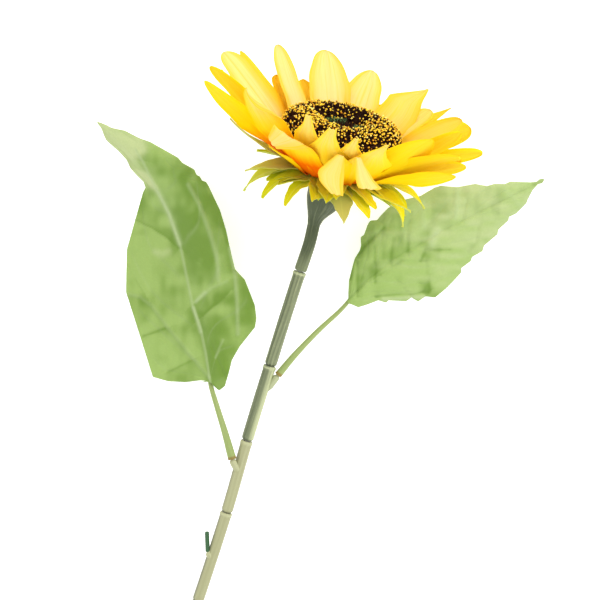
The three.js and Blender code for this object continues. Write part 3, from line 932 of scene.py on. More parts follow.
@dataclass(frozen=True)
class Petal(HeadCloth):
    """One petal: where its root is, where its tip reaches, how it bends, its outline, its dye and
    its painted light and shade.

    Its low side is the one of smaller azimuth. Edges are rows of the share of the way from clamp to
    tip, and the distances from the middle line to the low edge and to the high one. They stand in
    for width, base, lean and tip. A fold crosses the middle line at fold_at, leaning by slant.
    """

    azimuth: float
    reach: float
    lift: float
    width: float = 0.0
    arch: float = 3.0
    drift: float = 0.0
    roll: float = 0.0
    cup: float = 0.12
    fold: float = 0.0
    fold_at: float = 0.6
    slant: float = 0.0
    base: float = 0.7
    lean: float = 0.0
    tip: Tip = Tip.ROUND
    edges: Tuple[Point, ...] = ()
    # Share of lemon: partly the cloth's pale streaks and partly painted highlight.
    pale: float = 0.15
    # Shift towards orange: partly dye and partly painted shade; below 0 it is painted light on
    # roots in shade.
    warm: float = 0.0

    thickness: float = 0.35
    narrowest: float = 0.02
    clamp_radius: float = 20.0
    root_radius: float = 11.0
    root_rows: Pair = (0.0, 0.5)
    root_width: float = 0.6
    widest_at: float = 0.55
    fold_length: float = 2.5
    wave: float = 0.4
    rib: float = 0.2
    midrib: float = 0.16
    midrib_width: float = 0.09
    rows: int = 52
    crowded_rows: float = 0.2
    columns: int = 19
    parts: int = 60

    def path(self, level: float) -> Array:
        """Middle line past the clamp.

        Args:
            level: height of its row at the clamp.

        Returns:
            Evenly spaced pairs of radius and height.
        """
        out, up = self.reach - self.clamp_radius, self.lift - level
        slope, bend = math.atan2(up, out), math.radians(self.arch)
        step = math.hypot(out, up) * (bend / math.sin(bend) if bend else 1.0) / self.parts
        q = (np.arange(self.parts) + 0.5) / self.parts
        angle = slope + bend * (1 - 2 * q)
        steps = step * np.column_stack([np.cos(angle), np.sin(angle)])
        clamp = [self.clamp_radius, level]
        return np.vstack([clamp, clamp + np.cumsum(steps, axis=0)])

    def spine(self, level: float) -> Tuple[Array, Array, Array]:
        """Middle line from the root to the tip, with rows that crowd together at the tip.

        Args:
            level: height of its row at the clamp.

        Returns:
            Shares of the way from the clamp to the tip, and the points and unit directions of the
            rows inside the clamp and at the shares.
        """
        path = self.path(level)
        knots = np.linspace(0, 1, len(path))
        read = lambda s: HEAD.point(np.interp(s, knots, path[:, 0]),
                                    self.azimuth + self.drift * s * s,
                                    np.interp(s, knots, path[:, 1]))
        q = np.linspace(0, 1, self.rows)
        end = self.crowded_rows
        crowded = 1 - end + end * np.sin((q - (1 - end)) / end * np.pi / 2)
        q = np.where(q > 1 - end, crowded, q)
        small = 1 / self.parts
        tangent = unit(read(np.minimum(1, q + small)) - read(np.maximum(0, q - small)))
        held = self.clamp_radius - self.root_radius
        root = HEAD.point(self.root_radius + held * np.array(self.root_rows), self.azimuth, level)
        return q, np.vstack([root, read(q)]), np.vstack([tangent[:1], tangent[:1], tangent])

    def outline(self, q: Array) -> Tuple[Array, Array]:
        """Width at shares of the way from the clamp to the tip.

        Args:
            q: the shares.

        Returns:
            Half widths, and how far their middles are shifted to the high side.
        """
        if self.edges:
            share, low, high = np.array(self.edges).T
            low, high = np.interp(q, share, low), np.interp(q, share, high)
            return np.maximum(self.narrowest, (low + high) / 2), (high - low) / 2
        start, power, root = self.tip.value
        rise = np.sin(np.pi / 2 * np.minimum(1, q / self.widest_at)) ** 1.3
        swell = self.base + (1 - self.base) * rise
        end = (1 - np.maximum(0, (q - start) / (1 - start)) ** power) ** root
        half = np.maximum(self.narrowest, swell * end) * self.width / 2
        return half, self.lean * self.width / 2 * smoothstep(q, 0.3, 1)

    def folded(self, grid: Array, crossing: Array, along: Array, across: Array) -> Array:
        """Bends what lies past the fold outwards, round the fold's line.

        Args:
            grid: points of the flat petal.
            crossing: where the fold's line crosses the middle line.
            along: direction of the middle line there.
            across: direction of the higher side there.

        Returns:
            The bent points.
        """
        slant, fold = math.radians(self.slant), math.radians(self.fold)
        past = along * math.cos(slant) - across * math.sin(slant)
        out = np.cross(along, across)
        reach = (grid - crossing) @ past
        bend = fold * np.clip(reach / self.fold_length, 0, 1)
        radius = self.fold_length / fold
        straight = np.maximum(0, reach - self.fold_length)
        ahead = radius * np.sin(bend) + straight * np.cos(bend)
        aside = radius * (1 - np.cos(bend)) + straight * np.sin(bend)
        moved = (ahead - reach)[..., None] * past + aside[..., None] * out
        return grid + np.where(reach > 0, 1, 0)[..., None] * moved

    def relief(self, a: Array, b: Array, phase: Array) -> Tuple[Array, Array, Array]:
        """Unevenness of the cloth, which grows from the clamp on.

        Args:
            a: shares of the way from the clamp to the tip, by row.
            b: from -1 at the low edge to 1 at the high one, by column.
            phase: random angles.

        Returns:
            Heights of the waves at its edges and of its ribs, and factors of its width.
        """
        free = smoothstep(a, 0.1, 0.5)
        waves = np.sin(7.5 * a + phase[0] + 1.6 * b) + 0.5 * np.sin(15 * a + phase[1])
        ripple = self.wave * free * b**2 * waves
        ribs = (self.rib * free * np.cos(b * 8.0 + phase[2] + 0.8 * a)
                - self.midrib * free * bell(b, self.midrib_width))
        wobble = 1 + free * (0.03 * np.sin(11 * a + phase[3] + 2.2 * np.sign(b))
                             + 0.02 * np.sin(27 * a + phase[0] + 1.3 * np.sign(b)))
        return ripple, ribs, wobble

    def surface(self, level: float, seed: int) -> Surface:
        """Points of the petal and the values that its finish reads.

        Args:
            level: height of its row at the clamp.
            seed: picks its waves and ribs.

        Returns:
            The points by row and column, and the values by name.
        """
        q, centre, tangent = self.spine(level)
        root = np.array(self.root_rows)
        half, shift = self.outline(q)
        half = np.concatenate([half[0] * (self.root_width + (1 - self.root_width) * root), half])
        shift = np.concatenate([shift[0] * root, shift])
        turn = np.concatenate([0 * root, np.radians(self.roll) * np.minimum(1, 2 * q)])
        cup = np.concatenate([0 * root, self.cup * np.minimum(1, 3 * q)])
        along = np.concatenate([0 * root, q])
        outward = centre - np.array(HEAD.centre)
        outward -= (outward @ HEAD.axis)[:, None] * HEAD.axis
        side = unit(np.cross(outward, HEAD.axis))
        across = side * np.cos(turn)[:, None] + np.cross(side, tangent) * np.sin(turn)[:, None]
        inward = np.cross(across, tangent)
        rng = np.random.default_rng(seed)
        a, b = along[:, None], np.linspace(-1, 1, self.columns)[None, :]
        ripple, ribs, wobble = self.relief(a, b, rng.uniform(0, math.tau, 4))
        swell = (half[:, None] * cup[:, None] * b**2) + ripple + ribs
        aside = half[:, None] * b * wobble + shift[:, None]
        grid = (centre[:, None] + across[:, None] * aside[..., None]
                + inward[:, None] * swell[..., None])
        if self.fold:
            at = int(np.searchsorted(along, self.fold_at))
            grid = self.folded(grid, centre[at], tangent[at], across[at])
        return grid, {"along": a, "across": b, "pale": self.pale, "warm": self.warm,
                      "seed": rng.uniform(0, 50)}


@dataclass
class PetalRow:
    """A row of petals that are clamped at one level."""

    name: str
    level: float
    petals: List[Petal]

    def build(self, material: Material) -> None:
        """Makes each petal as its own piece.

        Args:
            material: the petal cloth.
        """
        for i, petal in enumerate(self.petals, start=1):
            sheet = petal.sheet(self.level, 100 * len(self.name) + i)
            thing = sheet.make(f"{self.name}_petal_{i:02d}", material)
            place(thing, "petal_fabric", [f"petal_{self.name}_{i:02d}"])


def petal_rows() -> List[PetalRow]:
    """The flower's three rows of petals.

    Returns:
        The rows, each from the right side round through the top.
    """
    p = Petal
    inner = [
        p(20, 59, 16, 17, arch=-6, drift=2, roll=30, cup=0.1, warm=-0.1),
        p(47, 55, 14, 23, arch=-10, drift=-6, roll=25, cup=0.1, warm=-0.1, tip=Tip.OVAL),
        p(83, 57, 13.5, arch=-8, pale=0.8, edges=((0, 8, 8), (0.3, 10, 10), (0.62, 10, 10),
          (0.74, 5, 5), (0.86, 2.2, 2.8), (1, 1.2, 1.2))),
        p(107, 57, 19, arch=-8, pale=0.9, edges=((0, 8, 8), (0.3, 10, 10), (0.55, 9, 10),
          (0.7, 4, 8), (0.85, 2.5, 3.5), (1, 1.5, 1.5))),
        p(143, 59, 20, 16, arch=-4, roll=-35, cup=0.1, pale=0.9, warm=0.25, fold=120, fold_at=0.9,
          slant=70),
        p(168, 69, 20, 18, roll=-40, cup=0.1, warm=0.15, tip=Tip.OVAL),
        p(199.5, 69, 17, 16.5, roll=12, cup=0.1, pale=0.9, tip=Tip.BLUNT),
        p(228, 63.5, 19, 13, drift=2, pale=1.0, base=0.85),
        p(258.5, 66, 17, 21, arch=5, lean=-0.3, pale=1.0, base=0.85),
        p(277, 68.6, 10.5, 22, arch=7, lean=0.05, pale=0.9, base=0.8, tip=Tip.OVAL),
        p(302.5, 66, 11, arch=7, cup=0.05, pale=0.5, edges=((0, 8, 8), (0.3, 9, 12), (0.6, 10, 12),
          (0.76, 11, 9), (1, -3, 4))),
        p(347, 58, 11, 15, arch=6, roll=-25, pale=0.3),
    ]
    middle = [
        p(8, 69, 5, 11, arch=5, drift=2, roll=60, cup=0.15, warm=-0.15),
        p(32, 66, 8, 22, arch=-6, roll=30, cup=0.1, warm=-0.15),
        p(69, 59, 13, arch=-10, pale=0.7, warm=0.1, edges=((0, 8, 8), (0.3, 11, 11), (0.6, 11, 11),
          (0.75, 5, 8), (0.9, 2, 4), (1, 1.2, 1))),
        p(95, 58, 16, arch=-10, cup=0.08, pale=0.8, warm=0.12, edges=((0, 8, 8), (0.3, 11, 11),
          (0.6, 11, 11), (0.72, 5, 8), (0.88, 2.5, 4), (1, 2.5, 1.5))),
        p(117.5, 59, 12, arch=-8, fold=135, fold_at=0.8, slant=25, pale=0.8, warm=0.28,
          edges=((0, 8, 8), (0.3, 12, 12), (0.65, 12, 10), (0.85, 8, 8), (1, 3, 4))),
        p(159, 73, 16, 13, arch=-3, roll=-48, cup=0.1, warm=0.25, tip=Tip.OVAL),
        p(180, 63, 15, 14, arch=-2, roll=-15),
        p(212, 68, 15.5, 16, arch=1, cup=0.05, tip=Tip.OVAL),
        p(245, 60, 2, 13, arch=5),
        p(267, 57, 0, 14, arch=5),
        p(291, 56, -1, 15, arch=5),
        p(315, 72, 5, 13, arch=4, drift=1, roll=-20, tip=Tip.POINTED),
        p(342, 65, 6, 17, arch=5, roll=-20, pale=0.1, tip=Tip.BLUNT),
    ]
    outer = [
        p(28, 68, 3.5, 17, roll=35, warm=-0.2),
        p(36.5, 67, 0, 12, arch=-4, roll=35, drift=-2, lean=-0.2, warm=-0.2),
        p(80, 61.8, 13.2, arch=-6, fold=115, fold_at=0.71, cup=0, pale=0.9, edges=((0, 6, 6),
          (0.5, 6, 6), (0.71, 1, 1), (0.8, 4, 0), (0.93, 10, -1), (0.98, 14, -2), (1, 12, -3))),
        p(87, 65.6, 16.4, arch=-6, fold=115, fold_at=0.66, cup=0, pale=0.7, edges=((0, 6, 6),
          (0.5, 6, 6), (0.66, 0.5, 1.5), (0.85, 2.5, 10.5), (0.93, 3, 8.5), (1, 3.5, 3))),
        p(140, 42, -9, 13, warm=0.1),
        p(187, 52, -4, 13, arch=1, cup=0.05, warm=0.2),
        p(228, 57, 5.4, 11, arch=1, cup=0.05, tip=Tip.BLUNT),
        p(262, 52, -8, 15, arch=5),
        p(317, 57, 5, 11, arch=5, pale=0.6, tip=Tip.BLUNT),
    ]
    return [PetalRow("inner", -20.6, inner), PetalRow("middle", -21.6, middle),
            PetalRow("outer", -22.6, outer)]


@dataclass(frozen=True)
class Sepal(HeadCloth):
    """One sepal: azimuth, length from the ring's middle, droop at its hub, width, curl, dye and
    painted light.
    """

    azimuth: float
    length: float
    droop: float
    width: float = 10.0
    curl: float = 0.0
    bright: float = 0.3
    dry: float = 0.0

    thickness: float = 0.35
    narrowest: float = 0.02
    start: float = 9.0
    hub: float = 11.5
    bend_length: float = 9.0
    root_width: float = 0.75
    narrows_at: float = 0.35
    cup: float = 0.3
    wave: float = 0.7
    rows: int = 30
    columns: int = 11

    def outline(self, tail: Array) -> Array:
        """Outline from the hub to the point.

        Args:
            tail: shares of the way.

        Returns:
            Widths there, as shares of the sepal's width.
        """
        body = self.root_width + (1 - self.root_width) * smoothstep(tail, 0.0, 0.3)
        past = np.maximum(0, (tail - self.narrows_at) / (1 - self.narrows_at))
        return np.maximum(self.narrowest, body * (1 - past ** 1.6) ** 0.85)

    def surface(self, level: float, seed: int) -> Surface:
        """Points of the sepal and the values that its finish reads.

        Args:
            level: height of its ring.
            seed: picks its waves.

        Returns:
            The points by row and column, and the values by name.
        """
        arc = np.linspace(self.start, self.length, self.rows)
        step = np.gradient(arc)
        share = np.clip((arc - self.hub) / self.bend_length, 0, 1)
        tail = np.clip((arc - self.hub) / (self.length - self.hub), 0, 1)
        angle = np.radians(self.droop) * share + np.radians(self.curl) * tail**2
        radius = self.start + np.concatenate([[0], np.cumsum((np.cos(angle) * step)[1:])])
        height = level - np.concatenate([[0], np.cumsum((np.sin(angle) * step)[1:])])
        centre = HEAD.point(radius, self.azimuth, height)
        tangent = unit(np.gradient(centre, axis=0))
        outward = HEAD.point(1, self.azimuth, 0) - np.array(HEAD.centre)
        side = np.cross(outward, HEAD.axis)
        inward = np.cross(side, tangent)
        phase = np.random.default_rng(seed).uniform(0, 6.28, 3)
        a, b = tail[:, None], np.linspace(-1, 1, self.columns)[None, :]
        free = smoothstep(a, 0.1, 0.4)
        half = self.outline(tail)[:, None] * self.width / 2
        jag = (0.13 * np.abs(np.sin(9 * a + phase[1] + 2 * np.sign(b)))
               + 0.06 * np.sin(31 * a + phase[2] + np.sign(b)))
        aside = half * b * (1 + free * jag * np.abs(b))
        swell = (self.cup * half * np.abs(b) ** 1.5
                 + free * b**2 * self.wave * np.sin(8 * a + phase[0] + 2 * b))
        grid = centre[:, None] + side * aside[..., None] + inward[:, None] * swell[..., None]
        return grid, {"along": a, "across": b, "bright": self.bright, "dry": self.dry}


@dataclass
class SepalRing:
    """A die-cut ring of sepals around the neck."""

    name: str
    level: float
    sepals: List[Sepal]
    hole: float = 2.6
    hub: float = 14.0
    thickness: float = 0.35
    step: float = 0.02
    first_seed: int = 500

    def collar(self) -> MeshDraft:
        """Flat ring that the sepals grow from.

        Returns:
            The ring.
        """
        azimuth = np.linspace(0, 360, 72, endpoint=False)
        radius = np.linspace(self.hole, self.hub, 6)
        grid = HEAD.point(radius[:, None], -azimuth[None, :], self.level)
        values = {"along": 0.0, "across": 0.5, "bright": 0.0, "dry": 0.0}
        return cloth_sheet(grid, self.thickness, values, wrapped=True)

    def build(self, material: Material) -> None:
        """Makes the ring as one piece. Its sepals lie a step apart where they overlap.

        Args:
            material: the sepal cloth.
        """
        draft = self.collar()
        seed = self.first_seed + int(-10 * self.level)
        for i, sepal in enumerate(self.sepals):
            draft.add(sepal.sheet(self.level - self.step * (i % 3), seed + i))
        place(draft.make(self.name + "_sepals", material), "sepal_fabric", ["calyx_" + self.name])


def sepal_rings() -> List[SepalRing]:
    """The flower's two rings of sepals.

    Returns:
        The rings, with sepals from the right side round through the top.
    """
    c = Sepal
    upper = [
        c(10.4, 42, -4, 9, curl=60, bright=0.8), c(7.8, 50, -10.7, 8, curl=60, bright=1.0),
        c(33, 48, 5, 8, bright=0.8), c(51, 38, 10, 9, bright=0.9), c(83, 35, 3, 10, bright=0.6),
        c(91, 36, 10, 12, bright=0.5), c(101, 36, 13, 12, bright=0.6),
        c(134, 36, 10, 11, bright=0.1), c(156.7, 46, -6, 11, curl=30, dry=0.6),
        c(183.5, 58, -8.3, 7, curl=-30, dry=0.9), c(200, 42, 6), c(228, 40, 8), c(256, 38, 8),
        c(284, 38, 8), c(330, 42, 12),
    ]
    lower = [
        c(15, 42, 22, 8, bright=0.4), c(31, 36, 11, 6, bright=0.1),
        c(26, 49, -9, 10, curl=90, bright=1.0), c(58, 41, 14, 11, bright=0.8),
        c(76, 42, 21, 11, dry=1.0), c(97, 33, 10, 14, bright=0.3),
        c(126, 38, 6, 8.5, curl=70, bright=0.6), c(141, 44, -3, 9, curl=70, bright=0.4),
        c(165.8, 48, 2, 11, curl=70, dry=0.2), c(150, 36, 12, 14, bright=0.2), c(190, 42, 20),
        c(214, 40, 24), c(242, 38, 24), c(270, 38, 24), c(306, 40, 24),
    ]
    return [SepalRing("upper", -23.7, upper), SepalRing("lower", -24.8, lower)]


@dataclass(frozen=True)
class Pile:
    """One kind of filaments: their sizes in metres, their lean in radians, and their seed."""

    spacing: float
    height: float
    knob: float
    lean: float
    seed: int
    thickness: float = 0.0002


class Growth(NodeTree):
    """Geometry Nodes tree that stands filaments on a bed, each with a knob at its end."""

    SIDES = 5
    KNOB_SCALE = (1.25, 0.85, 0.9)
    DENSEST = 4.0e6
    SCALES = (0.75, 1.2)

    def __init__(self, name: str) -> None:
        """Builds the tree.

        Args:
            name: the tree's name.
        """
        super().__init__(bpy.data.node_groups.new(name, "GeometryNodeTree"))
        socket = self.tree.interface.new_socket
        socket("Bed", in_out="INPUT", socket_type="NodeSocketGeometry")
        for label in ("Spacing", "Height", "Thickness", "Knob", "Lean"):
            socket(label, in_out="INPUT", socket_type="NodeSocketFloat")
        socket("Seed", in_out="INPUT", socket_type="NodeSocketInt")
        socket("Finish", in_out="INPUT", socket_type="NodeSocketMaterial")
        socket("Filaments", in_out="OUTPUT", socket_type="NodeSocketGeometry")
        self.given = self.node("NodeGroupInput").outputs
        self._grow()

    def store(self, geometry: Socket, label: str, domain: str, value: object) -> Socket:
        """Stores a number on a geometry.

        Args:
            geometry: the geometry.
            label: the number's name.
            domain: POINT or INSTANCE.
            value: the number, or a socket.

        Returns:
            The geometry with the number.
        """
        made = self.node("GeometryNodeStoreNamedAttribute", Geometry=geometry, Name=label)
        made.data_type, made.domain = "FLOAT", domain
        self.feed(made.inputs["Value"], value)
        return made.outputs["Geometry"]

    def random(self, low: float, high: float, salt: int) -> Socket:
        """A random number for each filament.

        Args:
            low: its least value.
            high: its greatest value.
            salt: keeps it apart from other random numbers.

        Returns:
            The number.
        """
        made = self.node("FunctionNodeRandomValue", Seed=salt)
        made.data_type = "FLOAT"
        made.inputs[2].default_value, made.inputs[3].default_value = low, high
        return made.outputs[1]

    def filament(self) -> Socket:
        """One filament: a shaft and the knob on its end.

        Returns:
            The filament, with a number named tip that is 1 on its knob.
        """
        height, thickness = self.given["Height"], self.given["Thickness"]
        shaft = self.node("GeometryNodeMeshCone", Vertices=self.SIDES, Side_Segments=2,
                          Radius_Bottom=thickness, Radius_Top=thickness, Depth=height)
        shaft.fill_type = "NONE"
        ball = self.node("GeometryNodeMeshIcoSphere", Subdivisions=1, Radius=self.given["Knob"])
        lift = self.node("ShaderNodeCombineXYZ", Z=height)
        knob = self.node("GeometryNodeTransform", Geometry=ball.outputs["Mesh"],
                         Translation=lift.outputs[0], Scale=self.KNOB_SCALE)
        joined = self.node("GeometryNodeJoinGeometry")
        for part, tip in ((shaft.outputs["Mesh"], 0.0), (knob.outputs["Geometry"], 1.0)):
            self.feed(joined.inputs[0], self.store(part, "tip", "POINT", tip))
        return joined.outputs[0]

    def _grow(self) -> None:
        """Scatters the filaments, leans them at random and realizes them."""
        share = self.node("GeometryNodeInputNamedAttribute", Name="share")
        share.data_type = "FLOAT"
        scattered = self.node("GeometryNodeDistributePointsOnFaces", Mesh=self.given["Bed"])
        scattered.distribute_method = "POISSON"
        for label, value in (("Distance Min", self.given["Spacing"]), ("Density Max", self.DENSEST),
                             ("Density Factor", share.outputs[0]), ("Seed", self.given["Seed"])):
            self.feed(scattered.inputs[label], value)
        placed = self.node("GeometryNodeInstanceOnPoints", Points=scattered.outputs["Points"],
                           Instance=self.filament(), Rotation=scattered.outputs["Rotation"],
                           Scale=self.random(*self.SCALES, 3))
        lean = self.node("ShaderNodeCombineXYZ", Z=self.random(-math.pi, math.pi, 9))
        for axis, salt in (("X", 5), ("Y", 7)):
            tilt = self.times(self.random(-1.0, 1.0, salt), self.given["Lean"])
            self.feed(lean.inputs[axis], tilt)
        leant = self.node("GeometryNodeRotateInstances", Instances=placed.outputs[0],
                          Rotation=lean.outputs[0])
        lucky = self.store(leant.outputs[0], "luck", "INSTANCE", self.random(0.0, 1.0, 11))
        solid = self.node("GeometryNodeRealizeInstances", Geometry=lucky)
        dressed = self.node("GeometryNodeSetMaterial", Geometry=solid.outputs[0],
                            Material=self.given["Finish"])
        self.feed(self.node("NodeGroupOutput").inputs[0], dressed.outputs[0])

    def apply(self, name: str, bed: MeshDraft, pile: Pile, finish: Material) -> bpy.types.Object:
        """Grows filaments on a bed and makes them a plain mesh.

        Args:
            name: the new piece's name.
            bed: the surface that they stand on, with a value named share.
            pile: what they are like.
            finish: their finish.

        Returns:
            The filaments.
        """
        host = bed.make(name + "_bed", finish)
        grown = host.modifiers.new("growth", "NODES")
        grown.node_group = self.tree
        by_name = {item.name: item.identifier for item in self.tree.interface.items_tree
                   if item.item_type == "SOCKET" and item.in_out == "INPUT"}
        grown[by_name["Finish"]] = finish
        for label, value in asdict(pile).items():
            grown[by_name[label.capitalize()]] = value
        evaluated = host.evaluated_get(bpy.context.evaluated_depsgraph_get())
        mesh = bpy.data.meshes.new_from_object(evaluated)
        bpy.data.objects.remove(host)
        mesh.name = name
        mesh.polygons.foreach_set("use_smooth", [True] * len(mesh.polygons))
        return add_object(name, mesh)


@dataclass
class Disc:
    """Dished disc of dyed filaments: a dark ring with yellow tips around a green middle."""

    crest: float = 4.9
    base: float = -18.6
    pile: float = 2.6
    bare_below: float = 11.0
    crest_radius: float = 20.5
    width: float = 13.0
    segments: int = 144
    middle_segments: int = 64
    middle_drop: float = 7.7
    back: float = 285.0
    mossy_sides: Pair = (12.0, 232.0)
    clump: float = 1.9
    clump_start: float = 30.0
    clump_seed: int = 21
    dark: Pile = Pile(0.00085, 0.0025, 0.00001, 0.3, 3)
    tipped: Pile = Pile(0.00086, 0.0029, 0.00044, 0.4, 8)
    middle_dark: Pile = Pile(0.0009, 0.0018, 0.00001, 0.4, 4)
    middle_green: Pile = Pile(0.0008, 0.0021, 0.0003, 0.4, 5, thickness=0.00025)

    def ring_profile(self) -> List[Pair]:
        """Bed of the ring, from its base round the rim and over the crest into the middle.

        Returns:
            Pairs of radius and height, which lie below the tips of the pile.
        """
        top = self.crest
        outside = [(18.5, self.base), (24, self.base + 4), (27.8, top - 13), (29.2, top - 9.5),
                   (28.8, top - 6), (27.2, top - 3), (24.4, top - 1.2), (20.8, top - 0.2),
                   (17, top), (13.6, top - 0.5), (11.4, top - 2), (10.3, top - 4.5), (9.8, top - 9)]
        return [(r + (self.crest_radius - r) * self.pile / self.width,
                 h - self.pile * smoothstep(np.float64(h), -12, 2)) for r, h in outside]

    def middle_profile(self) -> List[Pair]:
        """Bed of the middle, from its edge to its centre.

        Returns:
            Pairs of radius and height.
        """
        low = self.crest - self.middle_drop
        return [(13.2, low - 2), (12.4, low + 0.4), (9.0, low + 1.2), (5.0, low + 1.6),
                (2.5, low + 1.7), (0.2, low + 1.7)]

    def lathe(self, profile: Sequence[Pair], share: Callable[[Array, Array], Array],
              segments: int) -> MeshDraft:
        """Surface of revolution around the head's axis, smooth and open at both ends.

        Args:
            profile: radius and height pairs that go up the outside.
            share: how many of the filaments stand at a radius and an azimuth, from 0 to 1.
            segments: points around.

        Returns:
            The surface, with values named tip, luck and share.
        """
        line = Spline([(r, h, 0.0) for r, h in profile]).at(np.linspace(0, 1, 5 * len(profile)))
        radius, height = line[:, 0][:, None], line[:, 1][:, None]
        azimuth = np.linspace(0, 360, segments, endpoint=False)[None, :]
        faces = [(a, d, c, b) for a, b, c, d in ring_faces(len(line), segments)]
        none = np.zeros(len(line) * segments)
        part = share(radius, azimuth) * (height > self.crest - self.bare_below)
        return MeshDraft(HEAD.point(radius, azimuth, height).reshape(-1, 3), faces,
                         {"tip": none, "luck": none, "share": part.reshape(-1)})

    def everywhere(self, radius: Array, azimuth: Array) -> Array:
        """Share of dark filaments, which is 1 all over."""
        return np.ones_like(radius * azimuth)

    def dyed(self, radius: Array, azimuth: Array) -> Array:
        """Share of dyed filaments: in clumps, and few of them at the back, inside the rim.

        Args:
            radius: distances from the axis.
            azimuth: turns around it, in degrees.

        Returns:
            Shares from 0 to 1.
        """
        turn = np.radians(azimuth)
        behind = smoothstep(np.cos(np.radians(azimuth - self.back)), 0.45, 0.85)
        back = behind * (1 - smoothstep(radius, 20, 24))
        x = self.clump_start + radius * np.cos(turn) / self.clump
        y = self.clump_start + radius * np.sin(turn) / self.clump
        clumps = smoothstep(value_noise(x, y, self.clump_seed), -0.7, 0.0)
        return smoothstep(radius, 10.0, 13.0) * (1 - 0.5 * back) * clumps

    def mossy(self, radius: Array, azimuth: Array) -> Array:
        """Share of green filaments: a patch on each side of the middle.

        Args:
            radius: distances from the axis.
            azimuth: turns around it, in degrees.

        Returns:
            Shares from 0 to 1.
        """
        right, left = (np.cos(np.radians(azimuth - side)) for side in self.mossy_sides)
        patches = np.maximum(smoothstep(right, 0.5, 0.85), smoothstep(left, 0.6, 0.9))
        return patches * smoothstep(radius, 4.0, 6.0)

    def build(self, bristle: Material, green: Material) -> None:
        """Makes the beds and the filaments that stand on them.

        Args:
            bristle: finish of the ring's filaments.
            green: finish of the middle's green filaments.
        """
        ring, middle = self.ring_profile(), self.middle_profile()
        ring_bed = self.lathe(ring, self.everywhere, self.segments)
        middle_bed = self.lathe(middle, self.everywhere, self.middle_segments)
        dyed_bed = self.lathe(ring, self.dyed, self.segments)
        green_bed = self.lathe(middle, self.mossy, self.middle_segments)
        place(ring_bed.make("disc_bed", bristle), "bristle", ["disc_core"])
        place(middle_bed.make("disc_middle", bristle), "centre_bristle", ["disc_centre"])
        growth = Growth("filaments")
        for name, bed, pile, finish, slot in (
            ("dark", ring_bed, self.dark, bristle, "bristle"),
            ("tipped", dyed_bed, self.tipped, bristle, "bristle"),
            ("middle_dark", middle_bed, self.middle_dark, bristle, "bristle"),
            ("middle", green_bed, self.middle_green, green, "centre_bristle"),
        ):
            place(growth.apply(f"disc_{name}_filaments", bed, pile, finish), slot, [])


# ---- Leaves ----
@dataclass(frozen=True)
class Crease:
    """A line pressed into a leaf, seen from above, and what it does to the cloth beside it.

    Its height is positive for a raised vein. Vein changes the dye along the line within its width,
    and two more values change it there too: one darkens it, partly as darker dye and partly as
    painted shade, and one makes it paler, partly as a washed-out colour and partly as painted
    light.
    The painted shading darkens the cloth on its left, out to its reach, as painted shade on one
    side of a fold; below 0 it makes it paler, as painted light.
    """

    line: Tuple[Pair, ...]
    width: float
    height: float
    vein: float = 0.0
    deep: float = 0.0
    fade: float = 0.0
    tone: float = 0.0
    reach: float = 8.0
    edge: float = 0.7

    def measure(self, points: Array) -> Tuple[Array, Array]:
        """Nearness of points to the line, and the painted shading that it gives them.

        Args:
            points: layout points along the last axis.

        Returns:
            Nearness from 0 to 1, and painted shading.
        """
        best = np.full(points.shape[:-1], np.inf)
        sign = np.zeros(points.shape[:-1])
        for start, end in zip(self.line, self.line[1:]):
            start, step = np.array(start), np.array(end) - np.array(start)
            offset = points[..., :2] - start
            share = np.clip(offset @ step / (step @ step), 0, 1)
            gap = offset - share[..., None] * step
            distance = np.hypot(gap[..., 0], gap[..., 1])
            closer = distance < best
            best = np.where(closer, distance, best)
            sign = np.where(closer, step[0] * gap[..., 1] - step[1] * gap[..., 0], sign)
        # Painted shade on the left of the line, as on the side of a fold turned from the light;
        # painted light where the value is below 0.
        side = smoothstep(np.sign(sign) * best, -self.edge, self.edge)
        return bell(best, self.width), self.tone * side * bell(best, self.reach)


